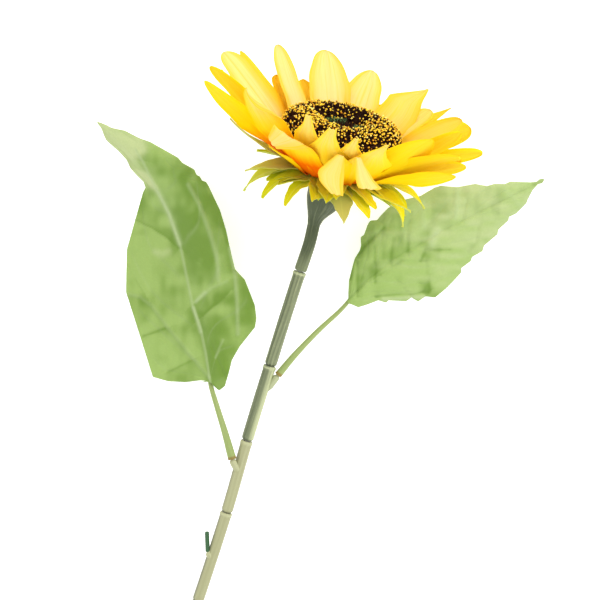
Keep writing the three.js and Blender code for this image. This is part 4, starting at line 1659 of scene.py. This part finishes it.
@dataclass
class Blade:
    """Leaf blade between its midrib and its two margins, which are cut to toothed edges.

    Quilt is the height of the swellings between its side veins, and quilt_count their number. The
    washed-out span holds where the paler colour starts and ends along the blade, and how far it
    goes;
    that paler colour is partly a washed-out tip and partly painted light. Strokes is how much the
    dye is streaked. The painted shade of its two halves is how much darker each is painted left and
    right of the midrib, as one half faces the light more than the other.
    """

    side: str
    midrib: List[Point]
    left: List[Point]
    right: List[Point]
    bulge: Pair
    left_edge: List[Pair]
    right_edge: List[Pair]
    creases: List[Crease]
    quilt: float
    # Painted shade: how much darker each half is painted.
    halves: Pair
    strokes: float
    seed: int
    quilt_count: float = 9.0
    faded: Tuple[float, float, float] = (0.95, 1.0, 0.0)
    rows: int = 220
    half_columns: int = 46
    thickness: float = 0.4
    vein_lead: float = 0.28
    groove: float = 0.16
    # Share of paler vein colour and painted shade in the grooves between swellings.
    groove_dye: float = 0.2
    base_gap: float = 4.5

    def surface(self, s: Array, t: Array) -> Array:
        """Smooth surface of the blade.

        Args:
            s: shares from its base to its tip.
            t: from -1 at its left margin to 1 at its right one.

        Returns:
            Layout points.
        """
        middle, left, right = (Spline(line).at(s) for line in (self.midrib, self.left, self.right))
        margin = np.where((t < 0)[..., None], left, right)
        across = np.abs(t)
        bulge = np.where(t < 0, *self.bulge) * 4 * across * (1 - across) * np.sin(np.pi * s)
        point = middle + (margin - middle) * across[..., None]
        point[..., 2] += bulge
        return point

    def trim(self, s: Array, side: float) -> Array:
        """How far each row reaches to the cut edge, as a share of its way to the smooth margin.

        Args:
            s: the rows' shares from base to tip.
            side: -1 for the left edge, 1 for the right one.

        Returns:
            Shares near 1.
        """
        edge = np.array(self.left_edge if side < 0 else self.right_edge)
        inner = self.surface(s, np.zeros_like(s))[:, :2]
        span = self.surface(s, np.full_like(s, side))[:, :2] - inner
        limit = np.maximum(self.base_gap / np.maximum(np.linalg.norm(span, axis=1), 1e-6), 0.6)
        best = np.full(len(s), np.inf)
        for start, end in zip(edge, edge[1:]):
            step = end - start
            across = span[:, 0] * step[1] - span[:, 1] * step[0]
            across = np.where(np.abs(across) < 1e-9, 1e-9, across)
            gap = start - inner
            reach = (gap[:, 0] * step[1] - gap[:, 1] * step[0]) / across
            place = (gap[:, 0] * span[:, 1] - gap[:, 1] * span[:, 0]) / across
            hit = (place >= 0) & (place <= 1) & (reach > 0)
            best = np.where(hit & (np.abs(reach - 1) < np.abs(best - 1)), reach, best)
        ends = smoothstep(s, 0.0, 0.03) * (1 - smoothstep(s, 0.96, 0.985))
        return 1 + np.where(np.abs(best - 1) < limit, best - 1, 0.0) * ends

    def cut(self) -> Tuple[Array, Array, Array]:
        """Smooth surface of the blade out to its cut edges.

        Returns:
            Shares along and across the blade as in surface, and points, all by row and column.
        """
        rows = np.linspace(0, 1, self.rows)
        t = np.linspace(-1, 1, 2 * self.half_columns + 1)[None, :] * np.ones((self.rows, 1))
        s = rows[:, None] * np.ones_like(t)
        reach = np.where(t < 0, self.trim(rows, -1.0)[:, None], self.trim(rows, 1.0)[:, None])
        grid = self.surface(s, t)
        middle = grid[:, self.half_columns:self.half_columns + 1]
        return s, t, middle * (1 - reach[..., None]) + grid * reach[..., None]

    def noise(self, grid: Array, x_size: float, y_size: float, salt: int) -> Array:
        """Smooth noise from -1 to 1 over the blade, with cells of a size in millimetres."""
        return value_noise(grid[..., 0] / x_size, grid[..., 1] / y_size, self.seed + salt)

    def build(self, material: Material) -> None:
        """Makes the blade.

        Args:
            material: the leaf cloth.
        """
        s, t, grid = self.cut()
        across = np.abs(t)
        open_part = (np.sin(np.pi * np.clip(s, 0, 1)) ** 0.5 * smoothstep(across, 0.02, 0.25)
                     * smoothstep(1 - across, 0, 0.2))
        drift = 0.35 * value_noise(3 * s, 2 * t, self.seed)
        cell = (s - self.vein_lead * across) * self.quilt_count + drift + 0.5 * (t > 0)
        pillow = np.abs(np.sin(np.pi * cell))
        height = self.quilt * open_part * pillow ** 0.7
        height += 0.5 * open_part * self.noise(grid, 11, 11, 1)
        height += 0.16 * self.noise(grid, 3.4, 3.4, 2)
        # Paler vein colour along the grooves between the swellings, which also get painted shade
        # below.
        vein = self.groove_dye * (bell(pillow, self.groove) * open_part)
        # Painted shade: one half of the blade darker than the other, as the light falls.
        deep = vein + np.interp(t, [-0.1, 0.05], self.halves) * (1 - smoothstep(s, 0.7, 0.88))
        deep += 0.3 * self.noise(grid, 14, 14, 3)
        deep += 0.3 * self.noise(grid, 5, 5, 4)
        deep += self.strokes * self.noise(grid, 2.8, 8, 5)
        # Paler towards the tip: partly a washed-out tip and partly painted light.
        fade = self.faded[2] * smoothstep(s, *self.faded[:2])
        fade = fade + 0.5 * self.strokes * self.noise(grid, 8, 2.8, 6)
        for crease in self.creases:
            near, tone = crease.measure(grid)
            height += crease.height * near
            vein = vein + crease.vein * near
            fade = fade + crease.fade * near
            deep = deep + crease.deep * near + tone
        lowest = LAYOUT.origin[2] + self.thickness / 2
        grid[..., 2] = np.maximum(grid[..., 2] + height, lowest)
        dyes = {"vein": np.clip(vein, 0, 1), "fade": fade, "deep": deep}
        draft = cloth_sheet(grid, self.thickness, dyes)
        place(draft.make(self.side + "_leaf", material), "leaf_fabric", [self.side + "_leaf_blade"])


def right_blade() -> Blade:
    """The leaf that lies to the right, with its tip away from the stem.

    Returns:
        Its blade.
    """
    c = Crease
    return Blade(
        "right",
        midrib=[(23.8, -1, 24.6), (27.8, 3.5, 26), (35, 12, 26.6), (46, 22, 26), (59, 30, 24),
                (72.7, 37.3, 21), (86.5, 44, 17), (101.5, 49.7, 12), (115, 56, 6.5),
                (125.3, 62.1, 1.8)],
        left=[(24.3, 0, 24.6), (25.3, 7.6, 28), (26.4, 17.5, 29), (32, 31, 28), (43, 44.5, 26),
              (60, 54, 23), (76.5, 57.3, 19), (93.5, 58, 15), (111.3, 60, 8.5), (125.2, 62.4, 1.8)],
        right=[(25, -2, 24.4), (33, -3.5, 21), (46, -1.5, 14), (66, 0.5, 7.5), (81.7, 12.2, 3.5),
               (92.5, 24, 2), (102.8, 35.3, 1.2), (111.6, 44.7, 1.2), (118.8, 51.9, 1.2),
               (125.5, 61.8, 1.8)],
        bulge=(2, 2),
        left_edge=[(24.3, 0), (24.6, 10), (27.5, 21), (30, 25), (30.6, 27.5), (30.4, 31.5),
                   (32, 32.5), (34, 38), (35.2, 39.8), (38.6, 40), (40.2, 42), (44.2, 46.2),
                   (52.8, 50.5), (60.5, 52.3), (68, 56.7), (71, 57.6), (79.4, 57), (88.6, 58.8),
                   (94.8, 57.8), (99, 59), (104.3, 59), (107, 60.3), (118, 60.2), (123.4, 61)],
        right_edge=[(24.1, -1.2), (29.3, -3.6), (34.4, -2), (39.5, 0), (43.7, -1.2), (44.7, 0),
                    (54, -0.5), (56.6, 1.4), (60.3, -0.6), (64, 2), (69, 1.3), (74.8, 6),
                    (79.5, 10.8), (82.7, 14.2), (82.5, 16.4), (87.5, 20), (88.2, 22.2),
                    (93.7, 25.2), (94.4, 28), (101.5, 33.9), (101.7, 36.2), (107, 41),
                    (107.2, 42.8), (111.2, 44.7), (116.4, 50), (117, 52), (119.3, 56.5),
                    (123.4, 61)],
        creases=[
            c(((24, 0), (35, 11), (46, 20), (60, 28), (74, 36), (88, 43), (104, 51), (120, 59)),
              0.7, -0.5, deep=0.15, tone=0.2, reach=16),
            c(((25, 11), (26.5, 19), (32.6, 27.6), (42, 36)), 1.1, -0.6, deep=0.6),
            c(((28.7, 2), (28.6, 19)), 1.0, -0.5, deep=0.5),
            c(((37.8, 9), (37.6, 27)), 0.9, -0.6, deep=0.4, tone=0.2, reach=4),
            c(((45.5, 18), (46.3, 31)), 1.2, -0.6, deep=0.45),
            c(((54.8, 23), (54, 32), (55.3, 44)), 1.2, -0.7, deep=0.55, tone=0.15, reach=5),
            c(((60.7, 19.5), (63.2, 25.3), (76, 25.6)), 1.0, -0.6, deep=0.6),
            c(((40.5, 12.5), (51, 19.3), (63.4, 19.5)), 1.1, -0.4, deep=0.35, tone=0.25, reach=9),
            c(((65, 4), (66.3, 12.8), (71.5, 15.5)), 1.1, -0.6, deep=0.45, tone=0.15, reach=6),
            c(((61, 48), (62, 38)), 1.5, 0.4, vein=0.3),
            c(((79.2, 56), (78.6, 42)), 1.3, 0.5, vein=0.5),
            c(((82, 40), (84.5, 51)), 0.9, -0.4, deep=0.3),
            c(((90.5, 37), (90, 29.5), (86, 25)), 1.3, -0.5, deep=0.4),
            c(((69, 35), (66.5, 29)), 2.0, 0.5, vein=0.5, fade=0.3),
            c(((101, 44), (109, 43.5)), 1.0, -0.4, deep=0.3),
            c(((104, 56), (111, 50), (117, 46)), 1.2, 0.3, vein=0.3),
            c(((38, 1.7), (48, 2.6), (58, 3), (66, 5)), 0.8, -0.5, deep=0.5, tone=0.3, reach=4),
            c(((42, 0.6), (54, 1.2), (63, 1.8)), 0.9, 0.5, vein=0.5, fade=0.5),
        ],
        # Painted light: paler towards its tip and on both halves, where the light falls on this
        # leaf.
        quilt=0.5, faded=(0.1, 0.7, 0.55), halves=(-0.1, -0.25), strokes=0.4, seed=4,
    )


def left_blade() -> Blade:
    """The leaf that stands to the left, with its tip curling back to the floor.

    Returns:
        Its blade.
    """
    c = Crease
    return Blade(
        "left",
        midrib=[(-44.9, -41.9, 19.4), (-46, -36.5, 19), (-47.5, -26.3, 18), (-50.5, -12.7, 16),
                (-54.7, 0, 14), (-59.4, 21.3, 12), (-65.5, 42.2, 11.5), (-72.5, 57, 11.5),
                (-81.3, 68.5, 10.5), (-91.7, 80, 7), (-104.2, 91.4, 1.6)],
        left=[(-46.2, -41, 19.4), (-61.8, -42, 12), (-75, -38.2, 6), (-81.7, -20.5, 2.6),
              (-87, -3, 1.2), (-89.4, 15.4, 0.9), (-86.7, 35.8, 1.8), (-79.9, 55.8, 5),
              (-83.5, 65, 6), (-91.7, 75.7, 4.5), (-104.4, 91.2, 1.6)],
        right=[(-43.5, -43.3, 19.6), (-38.7, -45.8, 21.5), (-35.2, -36.2, 25), (-30, -25, 28),
               (-22.5, -11, 29.5), (-26.5, 6, 30.5), (-34.6, 27.1, 30), (-43.2, 51.2, 27),
               (-55.5, 66.6, 22), (-74.5, 79, 13), (-104, 91.7, 1.6)],
        bulge=(-2, 4),
        left_edge=[(-46.5, -40.9), (-50.7, -40.6), (-58.5, -41.7), (-67.4, -41.4), (-75.3, -39.4),
                   (-89.5, 4.1), (-89, 26.2), (-80.5, 55.2), (-79, 57.5), (-80, 60.5), (-83, 63.3),
                   (-87, 67.6), (-88.7, 71.7), (-93.3, 76.7), (-97.5, 80.3), (-102.7, 85),
                   (-104.3, 87.4), (-104.9, 92)],
        right_edge=[(-44, -44.5), (-40.4, -45.4), (-37.8, -43.3), (-35.7, -36.2), (-34.2, -30.1),
                    (-30.1, -23.1), (-22.5, -13.6), (-21.8, -9), (-22.6, -2.5), (-27.5, 10),
                    (-32.3, 15), (-34.3, 22.5), (-37, 35), (-40.1, 45.1), (-46, 57.5),
                    (-47.7, 59.9), (-49.2, 60), (-50.4, 62.2), (-52, 62.8), (-53.1, 65.6),
                    (-56, 67.2), (-59.2, 69), (-61.6, 71.8), (-68.3, 75.7), (-76.2, 80.3),
                    (-81.7, 82.3), (-89.5, 86.5), (-100, 88.8), (-102.7, 90.6), (-104.7, 92)],
        creases=[
            c(((-45, -43), (-47.5, -27), (-50.3, -14), (-54.3, -3), (-57.5, 12), (-60.6, 27),
              (-66.8, 44.5), (-73.3, 57), (-78, 67), (-83.2, 76.6)), 0.7, 0.7, vein=0.6),
            c(((-61, 29), (-66.8, 44.5), (-72, 55)), 1.7, 0.2, vein=0.5, fade=0.3),
            c(((-50.3, -16), (-54, -4)), 1.0, 0.2, vein=0.5, fade=0.2),
            c(((-73.3, 57), (-79, 63), (-84, 65)), 1.8, 0.4, fade=0.7),
            c(((-56, 58), (-50.3, 47.7), (-45.1, 34), (-41.3, 21), (-40.6, 10)), 1.1, 0.9, vein=0.4,
              tone=-0.2, reach=5),
            c(((-35, 26), (-32.3, 12.5), (-31.4, 0), (-31, -17)), 0.9, 0.9, vein=0.5, tone=-0.1,
              reach=4),
            c(((-46, -39), (-55.9, -27.4), (-66.4, -15.3), (-75.9, -3), (-82, 1.6), (-89, 3)), 1.0,
              0.5, vein=0.3, deep=0.2, tone=0.25, reach=7),
            c(((-80.5, -18.5), (-69, -14.5)), 0.8, -0.5, deep=0.5, tone=-0.2, reach=9),
            c(((-86, 41.5), (-76, 37), (-69, 32.7), (-61.5, 27)), 0.7, -0.5, deep=0.3, tone=0.5,
              reach=12),
            c(((-88.6, 18), (-79.5, 3)), 0.6, -0.4, deep=0.25, tone=-0.3, reach=8),
            c(((-74, 24.5), (-70, 23.5), (-67, 25)), 2.6, 0.4, fade=0.45),
            c(((-60, 28), (-55, 34), (-50.6, 40.5)), 0.9, -0.7, deep=0.6, tone=0.3, reach=6),
            c(((-52.1, -0.5), (-44.2, 6), (-36.5, 9.5)), 0.7, 0.6, vein=0.3, tone=-0.3, reach=8),
            c(((-53, -1), (-48, 4)), 0.9, 0.2, vein=0.6),
            c(((-49, -8), (-38, 1.5)), 0.8, -0.5, deep=0.3, tone=0.6, reach=6),
            c(((-44, -24), (-41, -31), (-38, -38)), 1.0, -0.6, deep=0.6, tone=0.3, reach=5),
            c(((-42.5, -29), (-38.5, -20)), 0.6, 0.4, vein=0.35),
            c(((-68, -37), (-56, -31)), 0.8, -0.4, deep=0.3, tone=-0.3, reach=7),
            c(((-106, 90), (-97, 84), (-84, 78)), 6.5, 0.0, fade=1.0),
            c(((-100, 84), (-88, 78), (-80, 77)), 3, 0.3, fade=0.3),
            c(((-90, 72), (-84, 66), (-78, 61)), 5, 0.0, fade=0.55),
            c(((-61, 52), (-54, 34), (-49, 20)), 6, 0.0, deep=0.45),
            c(((-60, 66), (-50, 55), (-41, 40)), 6, 0.0, deep=0.6),
            c(((-82, 50), (-75, 44)), 5, 0.0, deep=0.3),
            c(((-27, 5), (-26, -10)), 4, 0.0, deep=0.3),
            c(((-44, -22), (-41, -36)), 5, 0.0, deep=0.35),
            c(((-88.7, 71.7), (-83.5, 72), (-80, 71)), 0.8, -0.4, deep=0.3, tone=0.3, reach=5),
            c(((-46, 60), (-41, 44), (-37.5, 30)), 2.2, -0.3, tone=0.25, reach=4),
            c(((-59, 62), (-52, 52)), 2.5, -0.4, deep=0.35),
        ],
        # Painted shade: its right half is darker.
        quilt=0.45, quilt_count=7.0, halves=(0.0, 0.3), strokes=0.15, seed=9,
    )


@dataclass
class Stalk:
    """Leaf stalk that is pushed on a peg of the stem and runs on under its blade's midrib."""

    side: str
    line: List[Point]
    foot: float
    neck: float
    blade: Blade
    tip: float = 0.6
    neck_at: float = 0.25
    under_blade: Tuple[float, ...] = (0.1, 0.2, 0.3)
    sink: float = 2.1
    rings: int = 70
    sides: int = 24

    def build(self, material: Material) -> None:
        """Makes the stalk, whose foot is darker.

        Args:
            material: the stalk's plastic.
        """
        share = np.array(self.under_blade)
        spine = self.blade.surface(share, np.zeros(len(share))) - np.array([0, 0, self.sink])
        curve = Spline([*self.line, *spine.tolist()])

        def radius(station: Array, turn: Array) -> Array:
            """Radius that tapers from the foot to the tip."""
            widths = [self.foot, self.neck, self.tip]
            return np.interp(station / curve.length, [0, self.neck_at, 1], widths)

        draft = swept_tube(curve, np.linspace(0, curve.length, self.rings), radius, self.sides)
        # A darker foot where the stalk meets its peg: partly darker dye and partly painted shade in
        # the crevice.
        draft.values["shade"] = 1.1 - 1.1 * smoothstep(draft.values["station"], 0.6, 2.4)
        place(draft.make(self.side + "_leaf_stalk", material), "stalk_plastic",
              [self.side + "_petiole"])


# ---- Stem ----
@dataclass(frozen=True)
class Sleeve:
    """How one sleeve is ribbed, dyed and painted with light and shade, and the boss that a leaf is
    pushed on.

    Its painted shading, on its left, in its middle and on its right, goes from -1 for painted light
    to 1 for painted shade, as the light falls from the right. The edge is the sine of the angle at
    which the painted shade on the left starts.
    """

    left: float
    middle: float
    right: float
    edge: float = 0.7
    # Painted shade in the valleys between the ridges.
    stripes: float = 0.1
    ridge: float = 0.03
    boss: Tuple[Point, ...] = ()
    radius: float = 2.95
    ridges: int = 9
    boss_radius: float = 1.75

    def ripple(self, station: Array, turn: Array, phase: float) -> Array:
        """Ridges that run along the sleeve and wander a little, from -1 to 1."""
        return np.cos(self.ridges * turn + 0.9 * np.sin(0.11 * station) + phase)

    def wall(self, station: Array, turn: Array, start: float, end: float) -> Array:
        """Radius around and along the sleeve, with a raised rim and a rounded lower end.

        Args:
            station: distances along the stem.
            turn: angles from the sleeve's top towards its left.
            start: where its upper end is.
            end: where its lower end is.

        Returns:
            Radii.
        """
        inset = smoothstep(station, start + 0.5, start)
        rim = 0.25 * bell(station - start - 1.2, 1.0) - 0.3 * inset
        ridge = self.ridge * self.ripple(station, turn, math.pi)
        return self.radius + rim + ridge - 0.8 * smoothstep(station, end - 1.8, end) ** 2

    def tone(self, station: Array, turn: Array, start: float, end: float) -> Array:
        """Painted shading around and along the sleeve: darker on its left, lighter on its right,
        darker in the valleys between its ridges, a painted highlight on its raised upper rim and
        painted shade at its lower end.

        Args:
            station: distances along the stem.
            turn: angles from the sleeve's top towards its left.
            start: where its upper end is.
            end: where its lower end is.

        Returns:
            Painted shading from -1 for painted light to 1 for painted shade.
        """
        side = np.sin(turn)
        shaded = smoothstep(side, self.edge - 0.2, self.edge + 0.2)
        tone = self.middle + (self.left - self.middle) * shaded
        tone += (self.right - self.middle) * smoothstep(-side, 0.35, 0.8)
        # Painted shade in the valleys between the ridges.
        tone += self.stripes * self.ripple(station, turn, 0.0)
        # A painted highlight on the raised upper rim, and painted shade at the lower end where the
        # next sleeve meets it.
        rim = bell(station - start - 1.1, 0.8)
        return tone * (1 - rim) - 0.75 * rim + 0.8 * smoothstep(station, end - 1.6, end - 0.4)

    def knob(self) -> MeshDraft:
        """Boss of the sleeve, which grows out of its wall and ends in a narrower peg.

        Returns:
            The boss.
        """
        curve = Spline(self.boss)
        stations = np.linspace(0, curve.length, 32)
        share = stations / curve.length
        wide = 0.5 + 0.5 * smoothstep(share, 0, 0.3) - 0.45 * smoothstep(share, 0.64, 0.7)
        radius = lambda station, turn: np.interp(station, stations, self.boss_radius * wide)
        draft = swept_tube(curve, stations, radius, 20)
        draft.values["shade"] = np.full(len(draft.points), -0.6)
        return draft

    def draft(self, curve: Spline, start: float, end: float) -> MeshDraft:
        """The sleeve with its boss.

        Args:
            curve: the stem's middle line.
            start: where the sleeve's upper end is.
            end: where its lower end is.

        Returns:
            The mesh, with a value named shade.
        """
        wall = lambda station, turn: self.wall(station, turn, start, end)
        draft = swept_tube(curve, np.arange(start + 0.15, end - 0.1, 0.5), wall, 72)
        station, turn = draft.values["station"], math.tau * draft.values["turn"]
        draft.values["shade"] = self.tone(station, turn, start, end)
        if self.boss:
            draft.add(self.knob())
        return draft


@dataclass
class Stem:
    """Moulded stem: a funnel neck and five sleeves that meet at ring joints."""

    neck_line: List[Point] = field(default_factory=lambda: [
        (16, 61.45, 49), (14.8, 55.8, 46.5), (10.8, 48, 42.9), (7.7, 40.6, 39.4), (4.6, 28, 36.9)])
    joints: List[Point] = field(default_factory=lambda: [
        (0, 14.2, 35.1), (-15, -32.8, 28), (-26.7, -70.8, 22.3), (-37.2, -107.4, 16.9),
        (-52.2, -153.6, 9.9), (-67.2, -198.6, 3.15)])
    funnel: List[Pair] = field(default_factory=lambda: [
        (0, 11), (6, 10.8), (11, 9.8), (15, 8.4), (18.5, 6.8), (22, 5), (25, 3.7), (28, 3)])
    upper_sleeves: List[Sleeve] = field(default_factory=lambda: [
        Sleeve(0.5, 0.1, 0.0, edge=0.5, stripes=0.4, ridge=0.13),
        Sleeve(0.5, -0.4, -0.85, edge=0.0, stripes=0.12, ridge=0.13, boss=(
            (-17.6, -46.4, 25.6), (-13.2, -40.6, 26.8), (-11.2, -37.9, 27), (-8.4, -34.3, 27.5))),
    ])
    lower_sleeves: List[Sleeve] = field(default_factory=lambda: [
        Sleeve(0.6, -0.35, -0.1, boss=(
            (-30.2, -87.4, 20.4), (-33.1, -82.8, 23.6), (-33.85, -80.75, 24.6),
            (-35, -76.4, 24.8))),
        Sleeve(0.8, -0.2, 0.1, boss=(
            (-43, -133.4, 13), (-46, -129.2, 15), (-46.85, -126.6, 15.4), (-46.9, -125, 15.5))),
        Sleeve(0.8, -0.2, 0.2),
    ])
    ridges: int = 13
    ridge: float = 0.12
    inset: float = 0.6

    def neck(self, curve: Spline, end: float) -> MeshDraft:
        """The funnel neck.

        Args:
            curve: the stem's middle line.
            end: where the neck's lower end is.

        Returns:
            The mesh, with a value named shade.
        """
        funnel = lambda station: np.interp(station, *zip(*self.funnel))

        def radius(station: Array, turn: Array) -> Array:
            """Radius of the funnel and the tube below it, with ridges and a rounded end."""
            ridge = self.ridge * np.cos(self.ridges * turn + 0.02 * station)
            return funnel(station) + ridge - self.inset * smoothstep(station, end - 1.4, end)

        draft = swept_tube(curve, np.arange(0, end - 0.1, 0.5), radius, 64)
        side = np.sin(math.tau * draft.values["turn"])
        # Painted light on the neck's right side, as the light falls from the right, and lighter
        # towards its lower end.
        draft.values["shade"] = (0.35 - 0.5 * smoothstep(-side, 0.3, 0.9)
                                 - 1.0 * smoothstep(draft.values["station"], 30, 52))
        return draft

    def build(self, neck: Material, upper: Material, lower: Material) -> None:
        """Makes the neck and the sleeves.

        Args:
            neck: plastic of the neck.
            upper: plastic of the first two sleeves.
            lower: plastic of the rest.
        """
        curve = Spline([*self.neck_line, *self.joints])
        first = len(self.neck_line)
        ends = [curve.station_of(first + i) for i in range(len(self.joints))]
        place(self.neck(curve, ends[0]).make("stem_neck", neck), "upper_stem_plastic", ["neck_cup"])
        dressed = [(sleeve, upper, "upper_stem_plastic") for sleeve in self.upper_sleeves]
        dressed += [(sleeve, lower, "lower_stem_plastic") for sleeve in self.lower_sleeves]
        for i, (sleeve, plastic, slot) in enumerate(dressed, start=1):
            draft = sleeve.draft(curve, ends[i - 1], ends[i])
            place(draft.make(f"sleeve_{i}", plastic), slot, [f"stem_sleeve_{i}"])


# ---- Studio ----
@dataclass
class Studio:
    """White floor, a soft light, even fill light and a camera that looks straight down."""

    camera_at: Point = (0.0, 0.0, 1030.0)
    lens: float = 120.0
    sensor: float = 36.0
    clip: Pair = (0.05, 20.0)
    floor_half: float = 4.0
    floor_drop: float = 0.0003
    floor_white: float = 0.95
    floor_glow: float = 0.42
    fill: float = 1.3
    key_at: Point = (0.7, 0.7, 1.2)
    key_aim: Point = (0.0, 0.0, 0.03)
    key_size: float = 0.9
    key_power: float = 10.0

    def add_camera(self) -> None:
        """Adds the camera above the middle of the layout and makes it the scene's camera."""
        data = bpy.data.cameras.new("camera")
        data.lens, data.sensor_width = self.lens, self.sensor
        data.clip_start, data.clip_end = self.clip
        camera = add_object("camera", data)
        camera.location = LAYOUT.metres(self.camera_at)
        bpy.context.scene.camera = camera

    def add_floor(self) -> None:
        """Adds the floor, a hair under the part."""
        half, white = self.floor_half, self.floor_white
        corners = [(-half, -half, 0), (half, -half, 0), (half, half, 0), (-half, half, 0)]
        mesh = bpy.data.meshes.new("floor")
        mesh.from_pydata(corners, [], [(0, 1, 2, 3)])
        graph = Graph("white_floor")
        paint = graph.shader((white, white, white, 1), 0.9, Emission_Color=(1, 1, 1, 1),
                             Emission_Strength=self.floor_glow)
        mesh.materials.append(graph.finish(paint))
        floor = add_object("floor", mesh)
        floor.location.z = -self.floor_drop

    def add_light(self) -> None:
        """Adds the world's fill light and one square soft light, and sets plain colours."""
        scene = bpy.context.scene
        world = bpy.data.worlds.new("studio")
        world.use_nodes = True
        background = world.node_tree.nodes["Background"].inputs
        background["Color"].default_value = (1, 1, 1, 1)
        background["Strength"].default_value = self.fill
        scene.world = world
        data = bpy.data.lights.new("key", "AREA")
        data.size, data.energy = self.key_size, self.key_power
        key = add_object("key", data)
        key.location = self.key_at
        gaze = Vector(self.key_aim) - Vector(self.key_at)
        key.rotation_euler = gaze.to_track_quat("-Z", "Y").to_euler()
        scene.view_settings.view_transform = "Standard"
        scene.view_settings.look = "None"


def main() -> None:
    """Builds the whole scene and reports each piece."""
    logging.basicConfig(level=logging.INFO, format="%(name)s %(message)s")
    studio = Studio()
    studio.add_camera()
    petal_cloth = PetalFinish().make()
    for row in petal_rows():
        row.build(petal_cloth)
    sepal_cloth = SepalFinish().make()
    for ring in sepal_rings():
        ring.build(sepal_cloth)
    green = BristleFinish(shaft=(45, 66, 38), brown=(70, 100, 60), tip=(84, 112, 62),
                          tip_pale=(128, 142, 70), tip_burnt=(60, 88, 52))
    Disc().build(BristleFinish().make("bristle"), green.make("green_bristle"))
    leaf_cloth = LeafFinish().make()
    right_leaf, left_leaf = right_blade(), left_blade()
    for blade in (right_leaf, left_leaf):
        blade.build(leaf_cloth)
    stalk = PlasticFinish((136, 152, 86), (128, 112, 50), (160, 174, 116), 0.6)
    stalk_plastic = stalk.make("stalk_plastic")
    right_line = [(-11, -37.6, 27), (-3, -28, 28.3), (8.5, -16, 26.4), (21, -4.5, 22.5)]
    left_line = [(-34, -80.1, 24.7), (-37.6, -67, 24.8), (-41.8, -54, 21.4), (-45.2, -43, 17.1)]
    Stalk("right", right_line, 1.85, 1.45, right_leaf).build(stalk_plastic)
    Stalk("left", left_line, 2.15, 1.6, left_leaf).build(stalk_plastic)
    neck = PlasticFinish().make("neck_plastic")
    upper = PlasticFinish((110, 118, 86), (80, 88, 62), (172, 178, 136), 0.5)
    lower = PlasticFinish((150, 150, 112), (108, 110, 86), (170, 172, 132), 0.4)
    Stem().build(neck, upper.make("upper_stem_plastic"), lower.make("lower_stem_plastic"))
    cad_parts["stem_wire"].data.materials[0] = SteelFinish().make()
    peg = PlasticFinish((45, 85, 50), (30, 60, 36), (80, 120, 80), 0.2)
    peg_plastic = peg.make("peg_plastic")
    for name in ("disc_holder", "spare_leaf_peg"):
        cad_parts[name].data.materials[0] = peg_plastic
    studio.add_floor()
    studio.add_light()


if __name__ == "__main__":
    main()
